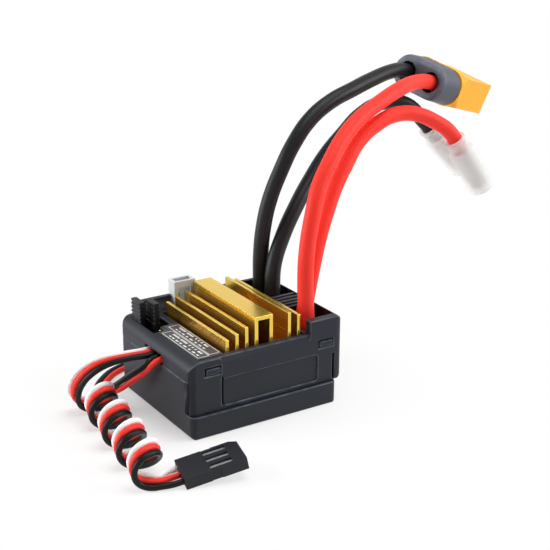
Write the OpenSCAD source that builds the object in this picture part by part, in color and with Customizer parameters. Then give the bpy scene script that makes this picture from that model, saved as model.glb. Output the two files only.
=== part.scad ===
// Brushed motor speed controller: snap-fit case, finned heat sink, power leads, servo lead and switch.
// X runs along the front face, Y runs to the back, Z is up. The origin is the bottom centre of the case.

/* [Case] */
// Width of the cover
case_w = 37; // [36.4:0.1:40]
// Depth of the case over its front plinth
case_d = 32; // [31.4:0.1:34]
// How far the cover overhangs the tub on the wire side
overhang = 1.9; // [1.5:0.1:2]
// How far the plinth stands out in front of the flap
plinth_step = 0.8; // [0.4:0.1:1.2]
// Height of the plinth
plinth_h = 5; // [4:0.1:6]
// Height of the seam between tub and cover
seam_h = 12; // [11.7:0.1:12.1]
// Height of the deck round the heat sink
deck_h = 16.4; // [16.2:0.1:17.4]
// Height of the raised rim
rim_h = 19.4; // [18.6:0.1:20.4]
// Thickness of the tub walls
tub_wall = 1.4; // [1:0.1:1.5]
// Thickness of the cover walls
cover_wall = 1.1; // [0.9:0.1:1.2]
// Thickness of the tub floor
floor_t = 1.6; // [1.2:0.1:2.4]
// Thickness of the deck
deck_t = 1.2; // [0.8:0.1:1.4]
// Radius of the upright corners
corner_r = 1.6; // [0.8:0.1:1.8]
// Radius along the cover's left top edge
shoulder_r = 2.6; // [1.5:0.1:3]
// Radius along the tub's left and right bottom edges
base_r = 0.9; // [0.6:0.1:1.2]
// Width of the jumper side, left of the heat sink's window
well_w = 8.8; // [8.6:0.1:10]
// Width of the wire side, right of the heat sink's window
bay_w = 8.6; // [8.4:0.1:10]
// Gap between fitted pieces
clear = 0.1; // [0.05:0.01:0.14]

/* [Heat sink] */
// Distance from the front flap's face to the heat sink
sink_front = 2.2; // [2:0.1:4]
// Distance from the heat sink to the back of the case
sink_back = 3.2; // [3:0.1:8]
// Thickness of the base plate
sink_base_t = 2; // [1.2:0.1:2.4]
// Thickness of one fin
fin_t = 0.75; // [0.5:0.05:1]
// Spacing of neighbouring fins
fin_pitch = 2.3; // [1.8:0.1:2.4]
// Heights of the fins left of the channel, outer one first
left_fin_h = [4.6, 5.4, 6.4];
// Heights of the fins right of the channel, inner one first
right_fin_h = [7.5, 6.6];
// Outer width of the channel
channel_w = 4.4; // [3:0.1:5]
// Height of the channel above the base plate
channel_h = 8.1; // [6:0.1:10]
// Thickness of the channel walls
channel_t = 0.85; // [0.5:0.05:1.2]

/* [Board] */
// Thickness of the circuit board
board_t = 1.6; // [1:0.1:1.8]
// Height of the posts that carry the board above the floor
post_h = 6.4; // [6:0.1:6.5]
// Height of the power transistors
transistor_h = 2; // [1.6:0.1:2.2]
// Thickness of the thermal pad
pad_t = 0.5; // [0.3:0.1:0.7]
// Pin pitch of the jumper headers
pin_pitch = 2; // [1.9:0.05:2.1]
// Side of a square jumper pin
pin_side = 0.5; // [0.4:0.05:0.6]
// Length of a jumper cap across its two pins
jumper_l = 4; // [3.6:0.1:4.2]
// Width of a jumper cap
jumper_w = 1.5; // [1.4:0.05:1.7]
// Height of a jumper cap
jumper_h = 8.5; // [8.2:0.1:9]
// Thickness of a jumper cap's ribbed grip
grip_t = 1.35; // [1.1:0.05:1.4]

/* [Power leads] */
// Outside diameter of a power wire
power_d = 3.5; // [3:0.1:3.6]
// Distance between the poles of the battery plug
pole_pitch = 7.2; // [7:0.1:7.6]
// Diameter of the battery plug pins
plug_pin_d = 3.5; // [3:0.1:4]
// Width of the battery plug
plug_w = 15.9; // [15.6:0.1:17]
// Thickness of the battery plug
plug_t = 8.7; // [8.4:0.1:9]
// Length of the cap over the solder cups
cap_l = 7.2; // [7:0.1:8.4]
// Length of the plug housing in front of the cap
plug_l = 13.6; // [12:0.1:14]
// Bore of the motor bullet sockets
bullet_bore = 3.5; // [3:0.1:4]
// Outside diameter of the motor bullet sockets
bullet_d = 4.6; // [4.4:0.1:5]
// Length of the motor bullet sockets
bullet_l = 10.5; // [9:0.1:14]
// Wall of the clear sleeves
sleeve_t = 0.7; // [0.5:0.1:0.9]

/* [Servo lead] */
// Outside diameter of a signal wire
signal_d = 1.2; // [0.9:0.05:1.25]
// Radius of the curls at the middle of the wire
curl_r = 3.2; // [2.6:0.1:3.6]
// Advance of the lead for one curl
curl_pitch = 9.1; // [8.4:0.1:10]
// Number of curls
curls = 4; // [3:1:5]
// Length of the servo plug
servo_l = 12.4; // [12:0.1:15]
// Width of the servo plug
servo_w = 7.7; // [7.6:0.1:8.4]
// Height of the servo plug
servo_h = 2.5; // [2.4:0.1:3]

/* [Switch] */
// Distance between the two screw holes in the ears
ear_pitch = 15; // [15:0.1:17]
// Diameter of the screw holes in the ears
ear_hole_d = 2.2; // [2:0.1:2.4]
// Length of the switch over its ears
ear_l = 20; // [19:0.1:22]
// Length of the switch can
can_l = 11.6; // [11.4:0.1:12.2]
// Width of the switch can
can_w = 6; // [5.4:0.1:7]
// Depth of the switch can
can_h = 3.6; // [3.2:0.1:4]
// Travel of the slider
switch_travel = 2; // [1.5:0.1:2.2]
// Pitch of the switch terminals
terminal_pitch = 3; // [2.6:0.1:3.2]

/* [Hidden] */
$fn = 48;

// Case limits
x0 = -case_w / 2;
x1 = case_w / 2;
tub_x1 = x1 - overhang;
y0 = -case_d / 2;
y1 = case_d / 2;
flap_y = y0 + plinth_step;
flap_t = 1;
tub_y0 = flap_y + flap_t + clear;
in_x0 = x0 + tub_wall;
in_x1 = tub_x1 - tub_wall;
in_y0 = tub_y0 + tub_wall;
in_y1 = y1 - tub_wall;

// Heights of the stack on the floor
board_z = floor_t + post_h;
board_top = board_z + board_t;
pad_z = board_top + transistor_h;
sink_z = pad_z + pad_t;
fin_z = sink_z + sink_base_t;
deck_z = deck_h - deck_t;

// Heat sink places: the gaps beside the channel take up what the fins leave
sink_y0 = flap_y + sink_front;
sink_y1 = y1 - sink_back;
sink_mid = (sink_y0 + sink_y1) / 2;
window_gap = 0.8;
window_x0 = x0 + well_w;
window_x1 = x1 - bay_w;
left_count = len(left_fin_h);
right_count = len(right_fin_h);
pitches = left_count + right_count - 2;
spare = window_x1 - window_x0 - 2 * window_gap - fin_t - channel_w - pitches * fin_pitch;
left_gap = spare * 0.32;
right_gap = spare - left_gap;
left_fins = [for (i = [0 : left_count - 1]) window_x0 + window_gap + fin_t / 2 + i * fin_pitch];
channel_x0 = left_fins[left_count - 1] + left_gap;
channel_x1 = channel_x0 + channel_w;
right_fins = [for (i = [0 : right_count - 1]) channel_x1 + right_gap + i * fin_pitch];
flange = 0.8;
sink_x0 = window_x0 - flange;
sink_x1 = window_x1 + flange - clear * 2;
window_y0 = sink_y0 - 0.3;
window_y1 = sink_y1 + clear;

// Bay where the power wires come out, and the block in front of it
bay_x0 = sink_x1 + clear;
bay_x1 = x1 - cover_wall;
bay_y0 = flap_y + 1.9;
rim_t = 1.5;
bay_y1 = y1 - rim_t;
block_x0 = window_x1 + 0.3;
rim_x0 = x0 + 4.8;
rim_r = 1.8;
rear_rim_h = rim_h - 0.5;
plinth_r = 1.4;
front_r = 0.4;
rear_r = 2;
skirt_r = overhang * 0.8;
// Bevel along the front edge of the deck
bevel_x0 = x0 + 7.3;
bevel_y = 0.5;
bevel_z = 1.2;

// Well over the jumper pins, with a step in its front edge
well_x0 = x0 + 1.8;
well_x1 = sink_x0 - 0.95;
well_l = 12.5;
well_y0 = y1 - well_l;
well_step = 2.3;
well_mid = well_x0 + 2.7;
jumper_gap = 0.9;
jumper_xs = [well_x0 + clear + jumper_w / 2, well_x0 + clear + jumper_w * 1.5 + jumper_gap];
jumper_ys = [y1 - 4.8, y1 - 6.9];
jumper_base_h = 2.5;
label_margin = 0.3;
label_slip = 0.4;
label_t = 0.15;
jumper_base_top = board_top + jumper_base_h;
pin_clear = 0.06;
pin_h = 3;

// Slot for the signal wires in the left wall
slot_y0 = -3.6;
slot_y1 = 4.4;
slot_h = 2.1;
grommet_face = x0 + 0.7;
grommet_back = in_x0 + 2.2;

// Snap catches behind the flap: left end, right end
catches = [[x0 + 3.5, x0 + 7.3], [tub_x1 - 4.3, tub_x1 - 0.6]];
catch_z = seam_h + 0.9;
catch_h = 1.8;
tongue_t = 0.9;
catch_gap = 0.35;
catch_inset = 0.1;
// Slits beside the recessed panel: x, bottom, top
slits = [[x0 + 7.4, plinth_h + 0.9, seam_h], [tub_x1 - 0.7, plinth_h + 0.3, seam_h - 0.9]];
slit_w = 0.5;
panel_x0 = x0 + 7.7;
panel_x1 = tub_x1 - 4.5;
panel_z0 = plinth_h + 0.8;
panel_top = seam_h - 0.4;
panel_r = 0.7;
panel_depth = 0.35;

// Fan socket in the rear wall
fan_x = left_fins[left_count - 1];
fan_w = 5.2;
fan_y0 = window_y1 + clear;
fan_z = seam_h + 1.2;
fan_top = rim_h + 3.2;
fan_t = 0.6;
fan_pin_pitch = 2;
fan_pin_y = in_y1 - 0.9;

// Where the power wires stand on the board, then the way they lean up to the rim
lug_h = 1;
wire_z = board_top + lug_h;
lug_in = 2.4;
lug_back = 7.2;
lug_front = 4.5;
black_step = [0.4, -4.2];
red_step = [0.8, 3.6];
lug_black_battery = [in_x1 - lug_in, y1 - lug_back];
lug_black_motor = lug_black_battery + black_step;
lug_red_battery = [in_x1 - lug_in - 0.3, flap_y + lug_front];
lug_red_motor = lug_red_battery + red_step;
function rise(lug, lean) = [[lug.x, lug.y, wire_z], [lug.x, lug.y, wire_z + 3.5],
    [lug.x + lean.x, lug.y + lean.y, rim_h + 0.6]];

// Comb between the black and the red wires
comb_gap = 0.5;
comb_y0 = lug_red_motor.y + power_d / 2 + comb_gap;
comb_y1 = lug_black_motor.y - power_d / 2 - comb_gap;
comb_top = deck_h - 0.2;
rib_t = 0.7;
rib_count = 5;
rib_top = rim_h - 0.3;

// Battery plug: centre of the cap's rear face, turn about Z, droop, and roll about its own axis
plug_pos = [62, 17, 60];
plug_turn = 18;
plug_droop = 16;
plug_roll = 15;
cap_hole_d = power_d + 1.4;
cup_x = 2.5;
// Motor bullets: centre of the sleeve's wire end, turn about Z and droop
red_bullet_pos = [61, 1.8, 48.2];
red_bullet_turn = -6;
red_bullet_droop = 55;
black_bullet_pos = [62.8, 13.2, 48.5];
black_bullet_turn = -6;
black_bullet_droop = 46;
bullet_x = 3.5;
sleeve_lip = 1.5;
sleeve_l = bullet_x + bullet_l + sleeve_lip;
// Servo plug: turn about Z and lift of its front
servo_turn = -14;
servo_lift = 11.5;
servo_pitch = 2.54;
contact_x = 0.8;
// Switch: centre of the can on the ground behind the case
switch_x = 17;
switch_y = 32.5;
sleeve_end_y = 26.5;
wire_end_y = 28.2;

// Direction of the X axis after a turn about Z and a droop
function aim(turn, droop) = [cos(droop) * cos(turn), cos(droop) * sin(turn), -sin(droop)];
// Level direction to the left of a turn about Z, and the direction above both
function beside(turn) = [-sin(turn), cos(turn), 0];
function above(turn, droop) = cross(aim(turn, droop), beside(turn));
// Place of a battery plug pole on the cap's rear face, side 1 at the back and -1 at the front
plug_across = cos(plug_roll) * beside(plug_turn) + sin(plug_roll) * above(plug_turn, plug_droop);
function pole(side) = plug_pos + side * pole_pitch / 2 * plug_across;
// Straight run of a route into a fitting: entry point, direction, depth of its seat
function run_in(entry, dir, depth) = [entry - 2 * dir, entry + depth * dir];

plug_dir = aim(plug_turn, plug_droop);
red_bullet_dir = aim(red_bullet_turn, red_bullet_droop);
black_bullet_dir = aim(black_bullet_turn, black_bullet_droop);

// Routes of the power wires above the board
route_black_battery = concat(rise(lug_black_battery, [0.2, 0.2]), [
    [13.1, 9, 27], [13.8, 9, 33], [15.4, 9, 39], [18.2, 9, 45], [22, 9.5, 50.7],
    [27, 10.5, 55.3], [33, 11.5, 58.3], [40, 13, 60], [47.5, 15.5, 61.2], [54.5, 18, 61.8]],
    run_in(pole(1), plug_dir, cup_x));
route_red_battery = concat(rise(lug_red_battery, [0, 0.7]), [
    [12.8, -9.2, 25], [13.5, -8.5, 32], [16, -7, 40], [18.5, -5.5, 45],
    [22, -4, 49], [27, -1.5, 53], [33, 1, 56.2], [41, 4, 58.6], [49, 7.5, 60], [56, 11, 60.2]],
    run_in(pole(-1), plug_dir, cup_x));
route_red_motor = concat(rise(lug_red_motor, [1.5, 0.6]), [
    [16.8, -5.8, 27], [19.2, -4.6, 33], [22, -3.2, 38], [25.5, -1.5, 43],
    [29.2, 0, 47], [34, 2, 51.2], [39.5, 3, 54], [45, 3.5, 55.4], [50.5, 3.2, 55], [56, 2.5, 52.6]],
    run_in(red_bullet_pos, red_bullet_dir, bullet_x));
route_black_motor = concat(rise(lug_black_motor, [0.4, 0.4]), [
    [14.3, 5.5, 25], [17.2, 6.7, 30.5], [22, 8.5, 36.5], [27.5, 11, 41.3], [32.7, 12.8, 45.7],
    [38.7, 14.3, 49.8], [44.5, 15.6, 53.3], [51, 16, 55.2], [57, 14.9, 54.4]],
    run_in(black_bullet_pos, black_bullet_dir, bullet_x));

// Servo lead from its slot to the first curl: middle wire, then the step to the next wire
servo_lead = [
    [[grommet_face, 2, 13], [0, -1.4, 0]],
    [[-19.7, 2, 13], [0, -1.4, 0]],
    [[-24, 2.6, 13], [0.1, -1.4, 0]],
    [[-28.2, 3.7, 12.4], [0.2, -1.4, -0.2]],
    [[-31.3, 5, 10.7], [0.35, -1.4, -0.35]],
    [[-33.1, 6.3, 8.2], [0.5, -1.35, -0.3]],
    [[-33.6, 7.4, 5.6], [0.5, -1.25, -0.4]],
    [[-33, 8.2, 3.5], [0.25, -1.3, -0.55]],
    [[-31.4, 8.5, 1.9], [0, -1.3, -0.65]]];
// Curls: advance, lean forward for each unit of height, step to the next wire, lowest point of the first one
curl_turn = 8;
curl_lean = 0.55;
curl_dir = [-sin(curl_turn), -cos(curl_turn), 0];
curl_side = [cos(curl_turn), -sin(curl_turn), 0];
curl_up = curl_lean * curl_dir + [0, 0, 1];
curl_step = (signal_d + 0.2) * unit(curl_dir - [0, 0, curl_lean]);
curl_rings = 8;
curl_start = [-29.1, 8.2, signal_d / 2 + 0.05 - curl_step.z];
curl_end = curl_start + curls * curl_pitch * curl_dir;
// Servo lead from the last curl to its plug, whose rear bottom edge lies on the ground
servo_pos = [curl_end.x + 6.37, curl_end.y - 0.66, 0];
servo_dir = aim(servo_turn, -servo_lift);
servo_across = -beside(servo_turn);
servo_seat_z = servo_h / 2;
function servo_entry(x) = servo_pos + x * servo_dir + servo_seat_z * above(servo_turn, -servo_lift);
servo_tail = [
    [curl_end + [1.65, -0.62, -0.15], [-0.1, -1.28, -0.45]],
    [curl_end + [3.6, -0.45, -0.3], [-0.3, -2.1, -0.15]],
    [servo_entry(-0.8), servo_pitch * servo_across],
    [servo_entry(contact_x), servo_pitch * servo_across]];

// Switch lead: middle of the pair, then the step from there to the black wire
switch_lead = [
    [[grommet_face, -1.8, 13], [0, 0.7, 0]],
    [[-19.3, -1.8, 12.75], [0.03, 0.67, 0.12]],
    [[-20.4, 0.5, 10.2], [-0.1, 0.45, 0.45]],
    [[-21.9, 4.6, 6.8], [-0.2, 0.2, 0.62]],
    [[-23.5, 8.6, 3.35], [-0.35, 0.05, 0.58]],
    [[-24.2, 11.7, 1.55], [-0.65, 0, 0.25]],
    [[-24.1, 15.5, 0.7], [-0.7, 0.2, 0]],
    [[-21.2, 19.2, 0.7], [-0.5, 0.5, 0]],
    [[-16.7, 22.4, 0.7], [-0.3, 0.65, 0]],
    [[-11, 23.6, 0.7], [-0.1, 0.7, 0]],
    [[-4.5, 23.4, 0.7], [0, 0.7, 0]],
    [[2, 22.6, 0.7], [0, 0.7, 0]],
    [[8.5, 22, 0.7], [-0.1, 0.75, 0]],
    [[12.5, 22.6, 1.2], [-0.5, 0.9, 0]],
    [[15, 24.4, 2.4], [-1.2, 0.5, 0]],
    [[switch_x - terminal_pitch / 2, sleeve_end_y, can_w / 2], [-terminal_pitch / 2, 0, 0]],
    [[switch_x - terminal_pitch / 2, wire_end_y, can_w / 2], [-terminal_pitch / 2, 0, 0]]];

// One wire of a lead, k steps from its middle
function strand(lead, k) = [for (p = lead) p[0] + k * p[1]];
// Curl points of one servo wire, k steps from the middle wire
function curl_points(k) = [for (i = [0 : curls * curl_rings])
    let (turn = i / curl_rings)
    curl_start + curl_pitch * turn * curl_dir + k * curl_step
        + curl_r * (cos(360 * turn - 90) * curl_side + (1 + sin(360 * turn - 90)) * curl_up)];
function servo_route(k) = concat(strand(servo_lead, k), curl_points(k), strand(servo_tail, k));

// Sweep of a tube along a route
function unit(v) = v / norm(v);
function tangents(p) = [for (i = [0 : len(p) - 1])
    unit(p[min(i + 1, len(p) - 1)] - p[max(i - 1, 0)])];
function level(v, t) = unit(v - (v * t) * t);
function first_side(t) = level(abs(t.z) < 0.8 ? [0, 0, 1] : [0, 1, 0], t);
function sides_of(t, i = 0, found = []) = i == len(t) ? found :
    let (side = i == 0 ? first_side(t[0]) : level(found[i - 1], t[i]))
    sides_of(t, i + 1, concat(found, [side]));
module tube(route, d, n) {
    t = tangents(route);
    s = sides_of(t);
    rings = len(route);
    points = [for (i = [0 : rings - 1]) for (j = [0 : n - 1])
        let (a = 360 * j / n)
        route[i] + d / 2 * (cos(a) * s[i] + sin(a) * cross(t[i], s[i]))];
    skin = [for (i = [0 : rings - 2]) for (j = [0 : n - 1]) for (half = [0, 1])
        let (k = (j + 1) % n)
        half == 0 ? [i * n + j, (i + 1) * n + k, i * n + k] : [i * n + j, (i + 1) * n + j, (i + 1) * n + k]];
    last = (rings - 1) * n;
    caps = [for (j = [1 : n - 2]) for (end = [0, 1])
        end == 0 ? [0, j, j + 1] : [last, last + j + 1, last + j]];
    polyhedron(points, concat(skin, caps));
}

// Least gap between stretches of one wire that are not neighbours
apart = 6;
function least_gap(route) = min([for (i = [0 : len(route) - 1 - apart])
    for (j = [i + apart : len(route) - 1]) norm(route[i] - route[j])]) - signal_d;
echo("least gap of a curled servo wire to itself, mm", min([for (k = [-1 : 1]) least_gap(servo_route(k))]));

// Rectangle with round corners between two opposite points
module round_rect(low, high, r) {
    translate([low.x + r, low.y])
        square([high.x - low.x - 2 * r, high.y - low.y]);
    translate([low.x, low.y + r])
        square([high.x - low.x, high.y - low.y - 2 * r]);
    for (x = [low.x + r, high.x - r])
        for (y = [low.y + r, high.y - r])
            translate([x, y])
                circle(r);
}

// Box between two opposite corners
module block(low, high) {
    translate(low)
        cube(high - low);
}

// Box with round upright edges
module post_block(low, high, r) {
    translate([0, 0, low.z])
        linear_extrude(high.z - low.z)
            round_rect([low.x, low.y], [high.x, high.y], r);
}

// Waste left of a round edge, for cutting along an edge of the given length
module edge_waste(r, length) {
    over = 0.5;
    translate([0, 0, -over])
        linear_extrude(length + 2 * over)
            difference() {
                translate([-over, -over])
                    square(r + over);
                translate([r, r])
                    circle(r);
            }
}

// Cutter along Y at a bottom or top edge; out is the way out of the solid in X and Z
module round_y(x, z, out, r) {
    translate([x, y0, z])
        mirror([out.x > 0 ? 1 : 0, 0, 0])
            mirror([0, 0, out.y > 0 ? 1 : 0])
                translate([0, case_d, 0])
                    rotate([90, 0, 0])
                        edge_waste(r, case_d);
}

// Cutter along X at a bottom or top edge; out is the way out of the solid in Y and Z
module round_x(y, z, out, r, from = x0, to = x1) {
    translate([from, y, z])
        mirror([0, out.x > 0 ? 1 : 0, 0])
            mirror([0, 0, out.y > 0 ? 1 : 0])
                rotate([90, 0, 90])
                    edge_waste(r, to - from);
}

// Tub with its plinth, board posts and snap catches
module lower_case() {
    color("#24262b") {
        difference() {
            union() {
                difference() {
                    post_block([x0, tub_y0, 0], [tub_x1, y1, seam_h], corner_r);
                    block([in_x0, in_y0, floor_t], [in_x1, in_y1, seam_h + 1]);
                }
                post_block([x0, y0, 0], [tub_x1, tub_y0 + corner_r + plinth_r, plinth_h - clear], plinth_r);
            }
            block([in_x0, in_y0, floor_t], [in_x1, in_y1, seam_h + 1]);
            round_y(x0, 0, [-1, -1], base_r);
            round_y(tub_x1, 0, [1, -1], base_r);
            round_x(y0, 0, [-1, -1], front_r);
            round_x(y1, 0, [1, -1], rear_r);
        }
        for (x = [in_x0 + 2, in_x1 - 2])
            for (y = [in_y0 + 2, in_y1 - 2])
                translate([x, y, floor_t])
                    cylinder(d = 3, h = post_h);
        for (c = catches) {
            block([c[0] + clear, tub_y0, seam_h - 2], [c[1] - clear, tub_y0 + tongue_t, deck_z - clear]);
            block([c[0] + catch_gap, flap_y + catch_inset, catch_z + clear],
                [c[1] - clear, tub_y0 + tongue_t, catch_z + catch_h - catch_gap]);
        }
    }
}

// Cover: deck, flap, overhanging skirt, raised rim, and the ribs that hold the heat sink down
module upper_cover() {
    color("#282a30")
        difference() {
            intersection() {
                post_block([x0, flap_y, 0], [x1, y1, rim_h], corner_r);
                union() {
                    block([x0, flap_y, seam_h], [x1, y1, deck_h]);
                    block([x0, flap_y, plinth_h], [x1, flap_y + flap_t, seam_h]);
                    block([tub_x1 + clear, flap_y, plinth_h], [x1, y1, seam_h]);
                    block([block_x0, flap_y, deck_h], [x1, bay_y0, rim_h]);
                    block([bay_x1, flap_y, deck_h], [x1, y1, rim_h]);
                    block([rim_x0, bay_y1, deck_h], [fan_x, y1, rim_h]);
                    block([fan_x, bay_y1, deck_h], [x1, y1, rear_rim_h]);
                }
            }
            difference() {
                block([x0 + cover_wall, flap_y + flap_t, seam_h - 1],
                    [x1 - cover_wall, y1 - cover_wall, deck_z]);
                for (span = [[sink_x0, window_x0], [window_x1, sink_x1]])
                    block([span[0], sink_y0, fin_z], [span[1], sink_y1, deck_h]);
            }
            block([window_x0, window_y0, seam_h], [window_x1, window_y1, rim_h]);
            block([bay_x0, bay_y0, seam_h], [bay_x1, bay_y1, rim_h + 1]);
            translate([0, 0, seam_h])
                linear_extrude(rim_h)
                    polygon([[well_x0, well_y0], [well_mid, well_y0], [well_mid, well_y0 + well_step],
                        [well_x1, well_y0 + well_step], [well_x1, bay_y1], [well_x0, bay_y1]]);
            translate([bevel_x0, flap_y, deck_h])
                rotate([90, 0, 90])
                    linear_extrude(block_x0 - bevel_x0)
                        polygon([[-1, 1], [bevel_y, 1], [bevel_y, 0], [0, -bevel_z], [-1, -bevel_z]]);
            block([x0 - 1, slot_y0, seam_h - 1], [grommet_back + clear, slot_y1, seam_h + slot_h]);
            block([fan_x - fan_w / 2 - clear, fan_y0 - 0.2, fan_z],
                [fan_x + fan_w / 2 + clear, y1 + 1, rim_h + 1]);
            for (c = catches)
                block([c[0], flap_y - 1, catch_z], [c[1], flap_y + flap_t + 1, catch_z + catch_h]);
            for (s = slits)
                block([s[0], flap_y - 1, s[1]], [s[0] + slit_w, flap_y + flap_t + 1, s[2]]);
            translate([0, flap_y + panel_depth, 0])
                rotate([90, 0, 0])
                    linear_extrude(panel_depth + 1)
                        round_rect([panel_x0, panel_z0], [panel_x1, panel_top], panel_r);
            round_y(x0, deck_h, [-1, 1], shoulder_r);
            round_y(x1, rim_h, [1, 1], rim_r);
            round_y(x1, plinth_h, [1, -1], skirt_r);
            round_x(y1, rim_h, [1, 1], rim_r / 2, x0, fan_x);
            round_x(y1, rear_rim_h, [1, 1], rim_r / 2, fan_x, x1);
        }
}

// Heat sink: base plate, graded fins and the channel between them
module heat_sink() {
    color("#d9a520") {
        block([sink_x0, sink_y0, sink_z], [sink_x1, sink_y1, fin_z]);
        for (i = [0 : len(left_fins) - 1])
            fin(left_fins[i], left_fin_h[i]);
        for (i = [0 : len(right_fins) - 1])
            fin(right_fins[i], right_fin_h[i]);
        difference() {
            block([channel_x0, sink_y0, fin_z], [channel_x1, sink_y1, fin_z + channel_h]);
            block([channel_x0 + channel_t, sink_y0 - 1, fin_z],
                [channel_x1 - channel_t, sink_y1 + 1, fin_z + channel_h - channel_t]);
        }
    }
}

module fin(x, h) {
    block([x - fin_t / 2, sink_y0, fin_z], [x + fin_t / 2, sink_y1, fin_z + h]);
}

// Soft pad between the transistors and the heat sink
module thermal_pad() {
    color("#9aa3ad")
        block([sink_x0 + 0.6, sink_y0 + 2, pad_z], [sink_x1 - 0.6, sink_y1 - 2, sink_z]);
}

// Circuit board on the four posts
module circuit_board() {
    color("#1f6b3a")
        block([in_x0 + 0.3, in_y0 + 0.3, board_z], [in_x1 - 0.1, in_y1 - 0.3, board_top]);
}

// Eight power transistors under the pad
module power_transistors() {
    body_w = 4;
    body_l = 6;
    column_pitch = 4.7;
    row_pitch = 11.6;
    color("#1b1b1d")
        for (column = [-1.5 : 1.5])
            for (row = [-0.5, 0.5])
                translate([column * column_pitch - body_w / 2, sink_mid + row * row_pitch - body_l / 2, board_top])
                    cube([body_w, body_l, transistor_h]);
}

// Control chip under the board
module microcontroller() {
    chip = 7;
    chip_h = 1.2;
    color("#161618")
        translate([-chip, -chip * 0.7, board_z - chip_h])
            cube([chip, chip, chip_h]);
}

// Regulator for the receiver supply, under the board
module voltage_regulator() {
    body = [5, 6, 2.3];
    color("#202022")
        translate([in_x0 + 3.6, in_y0 + 3.7, board_z - body.z])
            cube(body);
}

// Two filter capacitors under the board
module filter_capacitors() {
    can_d = 6.3;
    can_gap = 3.7;
    can_margin = 4;
    under = 1;
    color("#30343c")
        for (side = [-1, 1])
            translate([in_x1 - can_d / 2 - can_margin, side * (can_d + can_gap) / 2, floor_t + under])
                cylinder(d = can_d, h = post_h - under);
}

// Solder lugs where the power wires stand
module solder_lugs() {
    color("#c9ccd1")
        for (lug = [lug_black_battery, lug_black_motor, lug_red_battery, lug_red_motor])
            translate([lug.x, lug.y, board_top])
                cylinder(d = power_d, h = lug_h);
}

// Plastic bases of the two jumper headers
module jumper_base() {
    color("#111113")
        for (i = [0, 1])
            block([jumper_xs[i] - jumper_w / 2, jumper_ys[i] - pin_pitch * 1.5, board_top],
                [jumper_xs[i] + jumper_w / 2, jumper_ys[i] + pin_pitch * 1.5, jumper_base_top]);
}

// Three pins on each jumper header
module jumper_pins() {
    color("#cfae5a")
        for (i = [0, 1])
            for (pin = [-1 : 1])
                translate([jumper_xs[i] - pin_side / 2, jumper_ys[i] + pin * pin_pitch - pin_side / 2,
                    jumper_base_top])
                    cube([pin_side, pin_side, pin_h]);
}

// Jumper cap over the two rear pins of a header: a body round the pins and a thin ribbed grip
module jumper_cap(header) {
    body_h = 4;
    rib = 0.2;
    ribs = 5;
    rib_h = 0.45;
    rib_pitch = 0.86;
    hole = pin_side + 2 * pin_clear;
    x = jumper_xs[header];
    front = jumper_ys[header] + pin_pitch / 2 - jumper_l / 2;
    rear = front + jumper_l;
    z0 = jumper_base_top + clear;
    top = z0 + jumper_h;
    color("#17181b")
        difference() {
            union() {
                block([x - jumper_w / 2, front, z0], [x + jumper_w / 2, rear, z0 + body_h]);
                block([x - grip_t / 2 + rib, front, z0], [x + grip_t / 2 - rib, rear, top]);
                for (i = [0 : ribs - 1])
                    block([x - grip_t / 2, front, top - i * rib_pitch - rib_h],
                        [x + grip_t / 2, rear, top - i * rib_pitch]);
            }
            for (pin = [0, 1])
                translate([x - hole / 2, jumper_ys[header] + pin * pin_pitch - hole / 2, z0 - 1])
                    cube([hole, hole, pin_h + 1]);
        }
}

module battery_jumper() {
    jumper_cap(0);
}

module brake_jumper() {
    jumper_cap(1);
}

// Shrouded socket for a cooling fan
module fan_socket() {
    color("#e8eaec")
        difference() {
            block([fan_x - fan_w / 2, fan_y0, fan_z], [fan_x + fan_w / 2, y1, fan_top]);
            block([fan_x - fan_w / 2 + fan_t, fan_y0 + fan_t, fan_z + 1.2],
                [fan_x + fan_w / 2 - fan_t, y1 - fan_t, fan_top + 1]);
            block([fan_x - fan_w / 2 + 1, fan_y0 - 1, fan_z + 4],
                [fan_x + fan_w / 2 - 1, fan_y0 + fan_t + 1, fan_top - 1.6]);
        }
}

// Pins of the fan socket, standing in its shroud and reaching down to the board
module fan_pins() {
    color("#cfd2d6")
        for (x = [fan_x - fan_pin_pitch / 2, fan_x + fan_pin_pitch / 2]) {
            block([x - 0.25, fan_pin_y - 0.25, board_top], [x + 0.25, fan_pin_y + 0.25, fan_z]);
            block([x - 0.25, fan_y0 + fan_t + 0.6, fan_z + 1.2],
                [x + 0.25, fan_y0 + fan_t + 1.1, fan_top - 3]);
        }
}

// Label with the jumper settings
module setting_label() {
    low_x = x0 + shoulder_r;
    high_x = window_x0 - label_margin;
    low_y = flap_y + 1.3;
    step_x = well_mid + label_slip;
    rear_y = well_y0 - label_slip;
    color("#35373c")
        translate([0, 0, deck_h])
            linear_extrude(label_t)
                polygon([[low_x, low_y], [high_x, low_y],
                    [high_x, rear_y + well_step], [step_x, rear_y + well_step],
                    [step_x, rear_y], [low_x, rear_y]]);
}

// Ribbed comb that parts the black wires from the red ones
module wire_comb() {
    pitch = (comb_y1 - comb_y0 - rib_t) / (rib_count - 1);
    color("#1b1c20") {
        block([bay_x0 + clear, comb_y0, seam_h + clear], [bay_x1 - clear, comb_y1, comb_top]);
        for (i = [0 : rib_count - 1])
            block([bay_x0 + clear, comb_y0 + i * pitch, comb_top],
                [bay_x1 - clear, comb_y0 + i * pitch + rib_t, rib_top]);
    }
}

// Soft block in the slot, where the signal wires leave the case
module lead_grommet() {
    color("#131416")
        block([grommet_face, slot_y0 + clear, seam_h],
            [grommet_back, slot_y1 - clear, seam_h + slot_h - clear]);
}

module battery_wire_black() {
    color("#1a1b1e")
        tube(route_black_battery, power_d, 8);
}

module battery_wire_red() {
    color("#e8392f")
        tube(route_red_battery, power_d, 8);
}

module motor_wire_black() {
    color("#1a1b1e")
        tube(route_black_motor, power_d, 8);
}

module motor_wire_red() {
    color("#e8392f")
        tube(route_red_motor, power_d, 8);
}

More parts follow.
